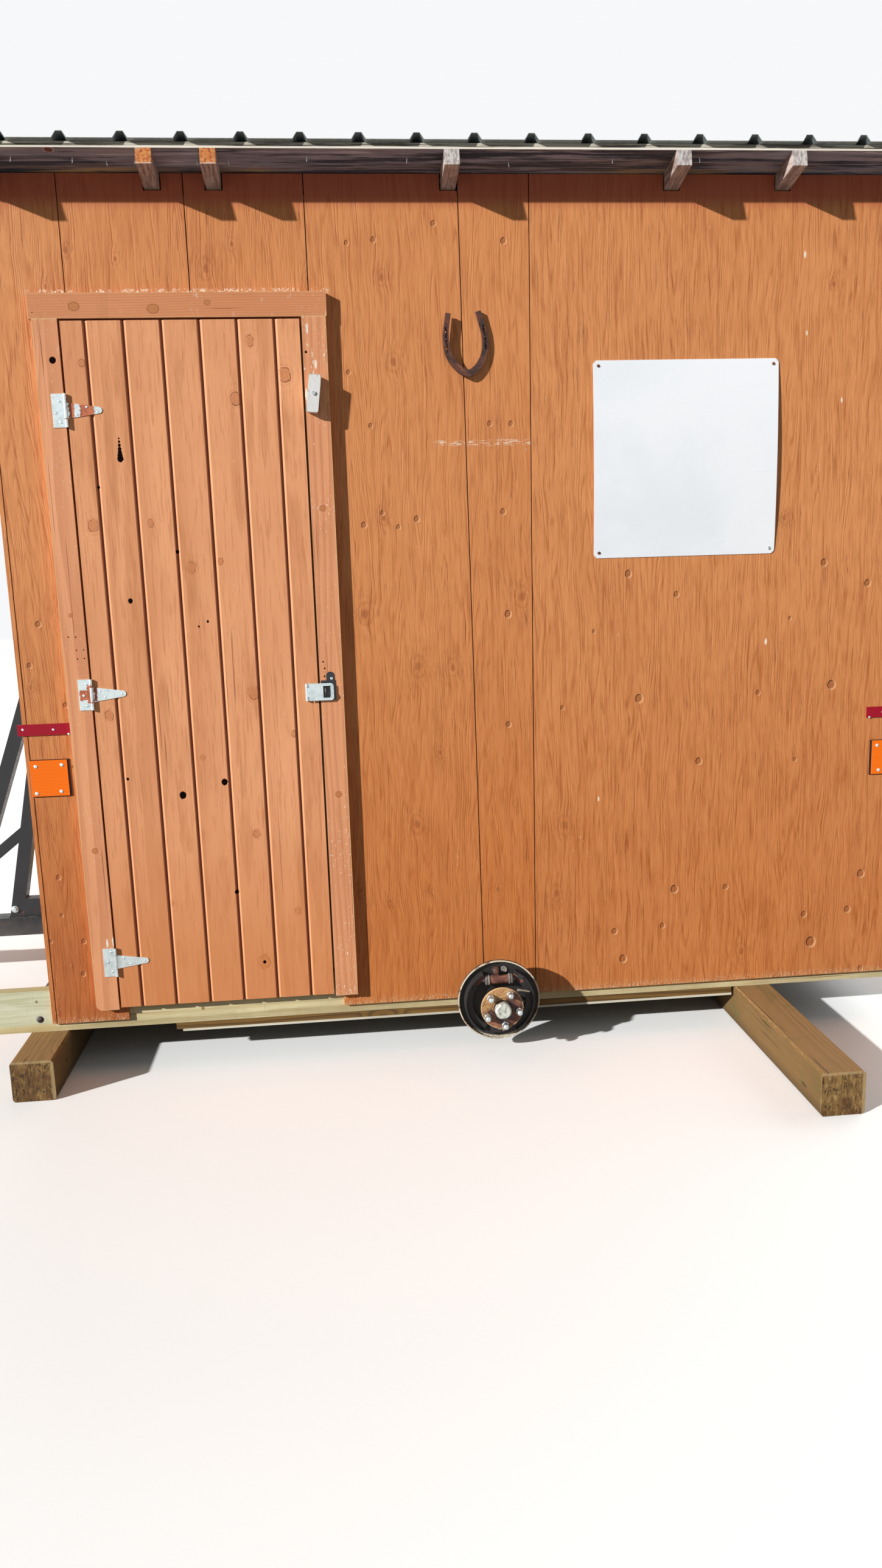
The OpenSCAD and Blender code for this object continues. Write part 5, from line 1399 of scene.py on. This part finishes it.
def boltAt(points, name, look):  # (point, direction) pairs
    heads = [(point + Vector(way).normalized() * boltLift, way) for point, way in points]
    spread(name + "_washers", washer, look, [spot(point, way) for point, way in points])
    tops = [spot(point, way, index * 0.7) for index, (point, way) in enumerate(heads)]
    spread(name + "_bolts", hexHead, look, tops)


farBolt = Vector((mastBolt.x, 2 * barMiddle - mastBolt.y, mastBolt.z))
boltAt([(mastBolt, (0, -1, 0)), (farBolt, (0, 1, 0))], "mast", galvanised)
bracketLow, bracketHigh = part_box("mast_bracket")
bracketLook = {"thick": 0.008, "across": 0.058, "inset": 0.018}
plateFront = bracketHigh.x - bracketLook["thick"]
levels = (bracketLow.z + bracketLook["inset"], bracketHigh.z - bracketLook["inset"])
sides = (-bracketLook["across"], bracketLook["across"])
plateBolts = [Vector((plateFront, barMiddle + across, level)) for across in sides for level in levels]
boltAt([(point, (-1, 0, 0)) for point in plateBolts], "bracket", boltLook)

# roof screws on the flats beside the ribs
roofScrew = {
    "ribs": 19, "pitch": 0.158, "firstRib": 0.0865, "beside": 0.034, "rows": (0.07, 0.69, 1.34, 1.99),
    "sheet": 0.0172}
fall = Vector((0, math.cos(slope), -math.sin(slope)))
lift = Vector((0, math.sin(slope), math.cos(slope)))
firstRow = Vector((sheetLow.x + roofScrew["firstRib"] + roofScrew["beside"], roofLow.y, eaveFoot))
firstRow += lift * roofScrew["sheet"]
screwSpots = []
for rib in range(0, roofScrew["ribs"], 2):
    for row in roofScrew["rows"]:
        screwSpots.append((firstRow + Vector((rib * roofScrew["pitch"], 0, 0)) + fall * row, tuple(lift)))
boltAt(screwSpots, "roof", galvanised)
drop(hexHead, washer)
railBolt = turned("rail_bolt", [(0.0072, 0), (0.0072, 0.0012), (0.0056, 0.0024), (0.003, 0.003)], 16)
railSpot = onWall(*boltSpots["rail"])
railSpot.y = railLow.y
backSpot = Vector((railSpot.x, railHigh.y, railSpot.z))
spread("rail_bolts", railBolt, boltLook, [spot(railSpot), spot(backSpot, (0, 1, 0))])
drop(railBolt)


# nails that come through the front roof board
nailLook = {"in": 0.052, "sway": 0.016, "lean": 0.12, "rise": 0.0005}
nailSpots = [144, 305, 392, 468, 635, 719, 934, 1210, 1496, 1790, 2040, 2330, 2600]
nailTip = turned("nail_tip", [(0.0016, 0), (0.0016, 0.011), (0.0003, 0.0148)], 8)
places = []
for x in nailSpots:
    back = nailLook["in"] + nailLook["sway"] * math.sin(x)
    level = eaveFoot - back * roofFall + nailLook["rise"]
    lean = nailLook["lean"] * math.sin(3 * x)
    places.append(spot(Vector((corner.x + x / 1000, roofLow.y + back, level)), (lean, -0.1, -1)))
spread("nail_tips", nailTip, zincPlain, places)
drop(nailTip)
print("small pieces ready")


# stage
stageLook = {"size": 80, "bounce": (104, 104, 104), "floor": (246, 246, 244), "glow": 0.12}
lampLook = {  # direction, strength, softness
    "key": ((1.0, 0.585, -0.50), 5.5, 0.02), "fill": ((-0.8, 0.9, -0.7), 0.1, 0.9),
    "back": ((-0.3, -1.0, -0.8), 1.2, 0.9), "side": ((-1.0, -0.4, -0.6), 1.2, 0.9)}


def makeFloor():
    clear()
    bpy.ops.mesh.primitive_plane_add(size=stageLook["size"], location=(0, 0, 0))
    floor = bpy.context.object
    floor.name = "floor"
    material = newFinish("pale floor", 0.85)[0]
    path = put("LightPath").outputs
    direct = either(path["Is Camera Ray"], path["Is Glossy Ray"], path["Is Transmission Ray"])
    feed(principled()["Base Color"], layer(stageLook["bounce"], stageLook["floor"], direct))
    floor.data.materials.append(material)


def makeLight():
    world = bpy.data.worlds.new("studio")
    bpy.context.scene.world = world
    world.use_nodes = True
    current["tree"] = world.node_tree
    seen = world.node_tree.nodes["Background"]
    seen.inputs["Color"].default_value = (0.93, 0.94, 0.95, 1)
    path = put("LightPath").outputs
    glow = put("Background", {"Color": (0.93, 0.96, 1.0, 1), "Strength": stageLook["glow"]})
    direct = either(path["Is Camera Ray"], path["Is Glossy Ray"])
    mixer = put("MixShader", {0: direct, 1: glow.outputs[0], 2: seen.outputs[0]})
    feed(world.node_tree.nodes["World Output"].inputs["Surface"], mixer.outputs[0])
    for name, (direction, strength, softness) in lampLook.items():
        lamp = bpy.data.lights.new(name, "SUN")
        lamp.energy = strength
        lamp.angle = softness
        carrier = bpy.data.objects.new(name, lamp)
        carrier.rotation_euler = Vector(direction).to_track_quat("-Z", "Y").to_euler()
        bpy.context.scene.collection.objects.link(carrier)


cameraLook = {"place": (968, -3260, 1472), "yaw": -5.05, "pitch": 10.46, "roll": -1.81, "lens": 24.3}


def makeCamera():
    data = bpy.data.cameras.new("view")
    data.sensor_fit = "VERTICAL"
    data.sensor_height = 36
    data.lens = cameraLook["lens"]
    data.clip_end = 200
    camera = bpy.data.objects.new("view", data)
    yaw, pitch, roll = (math.radians(cameraLook[key]) for key in ("yaw", "pitch", "roll"))
    ahead = Vector((-math.sin(yaw) * math.cos(pitch), math.cos(yaw) * math.cos(pitch), -math.sin(pitch)))
    right = Vector((math.cos(yaw), math.sin(yaw), 0))
    up = right.cross(ahead)
    rolled = math.cos(roll) * right + math.sin(roll) * up
    upright = rolled.cross(ahead)
    camera.matrix_world = Matrix((rolled, upright, -ahead)).transposed().to_4x4()
    camera.location = hut(*cameraLook["place"])
    bpy.context.scene.collection.objects.link(camera)
    bpy.context.scene.camera = camera


makeFloor()
makeLight()
makeCamera()
bpy.context.scene.view_settings.view_transform = "Standard"
print("stage ready")
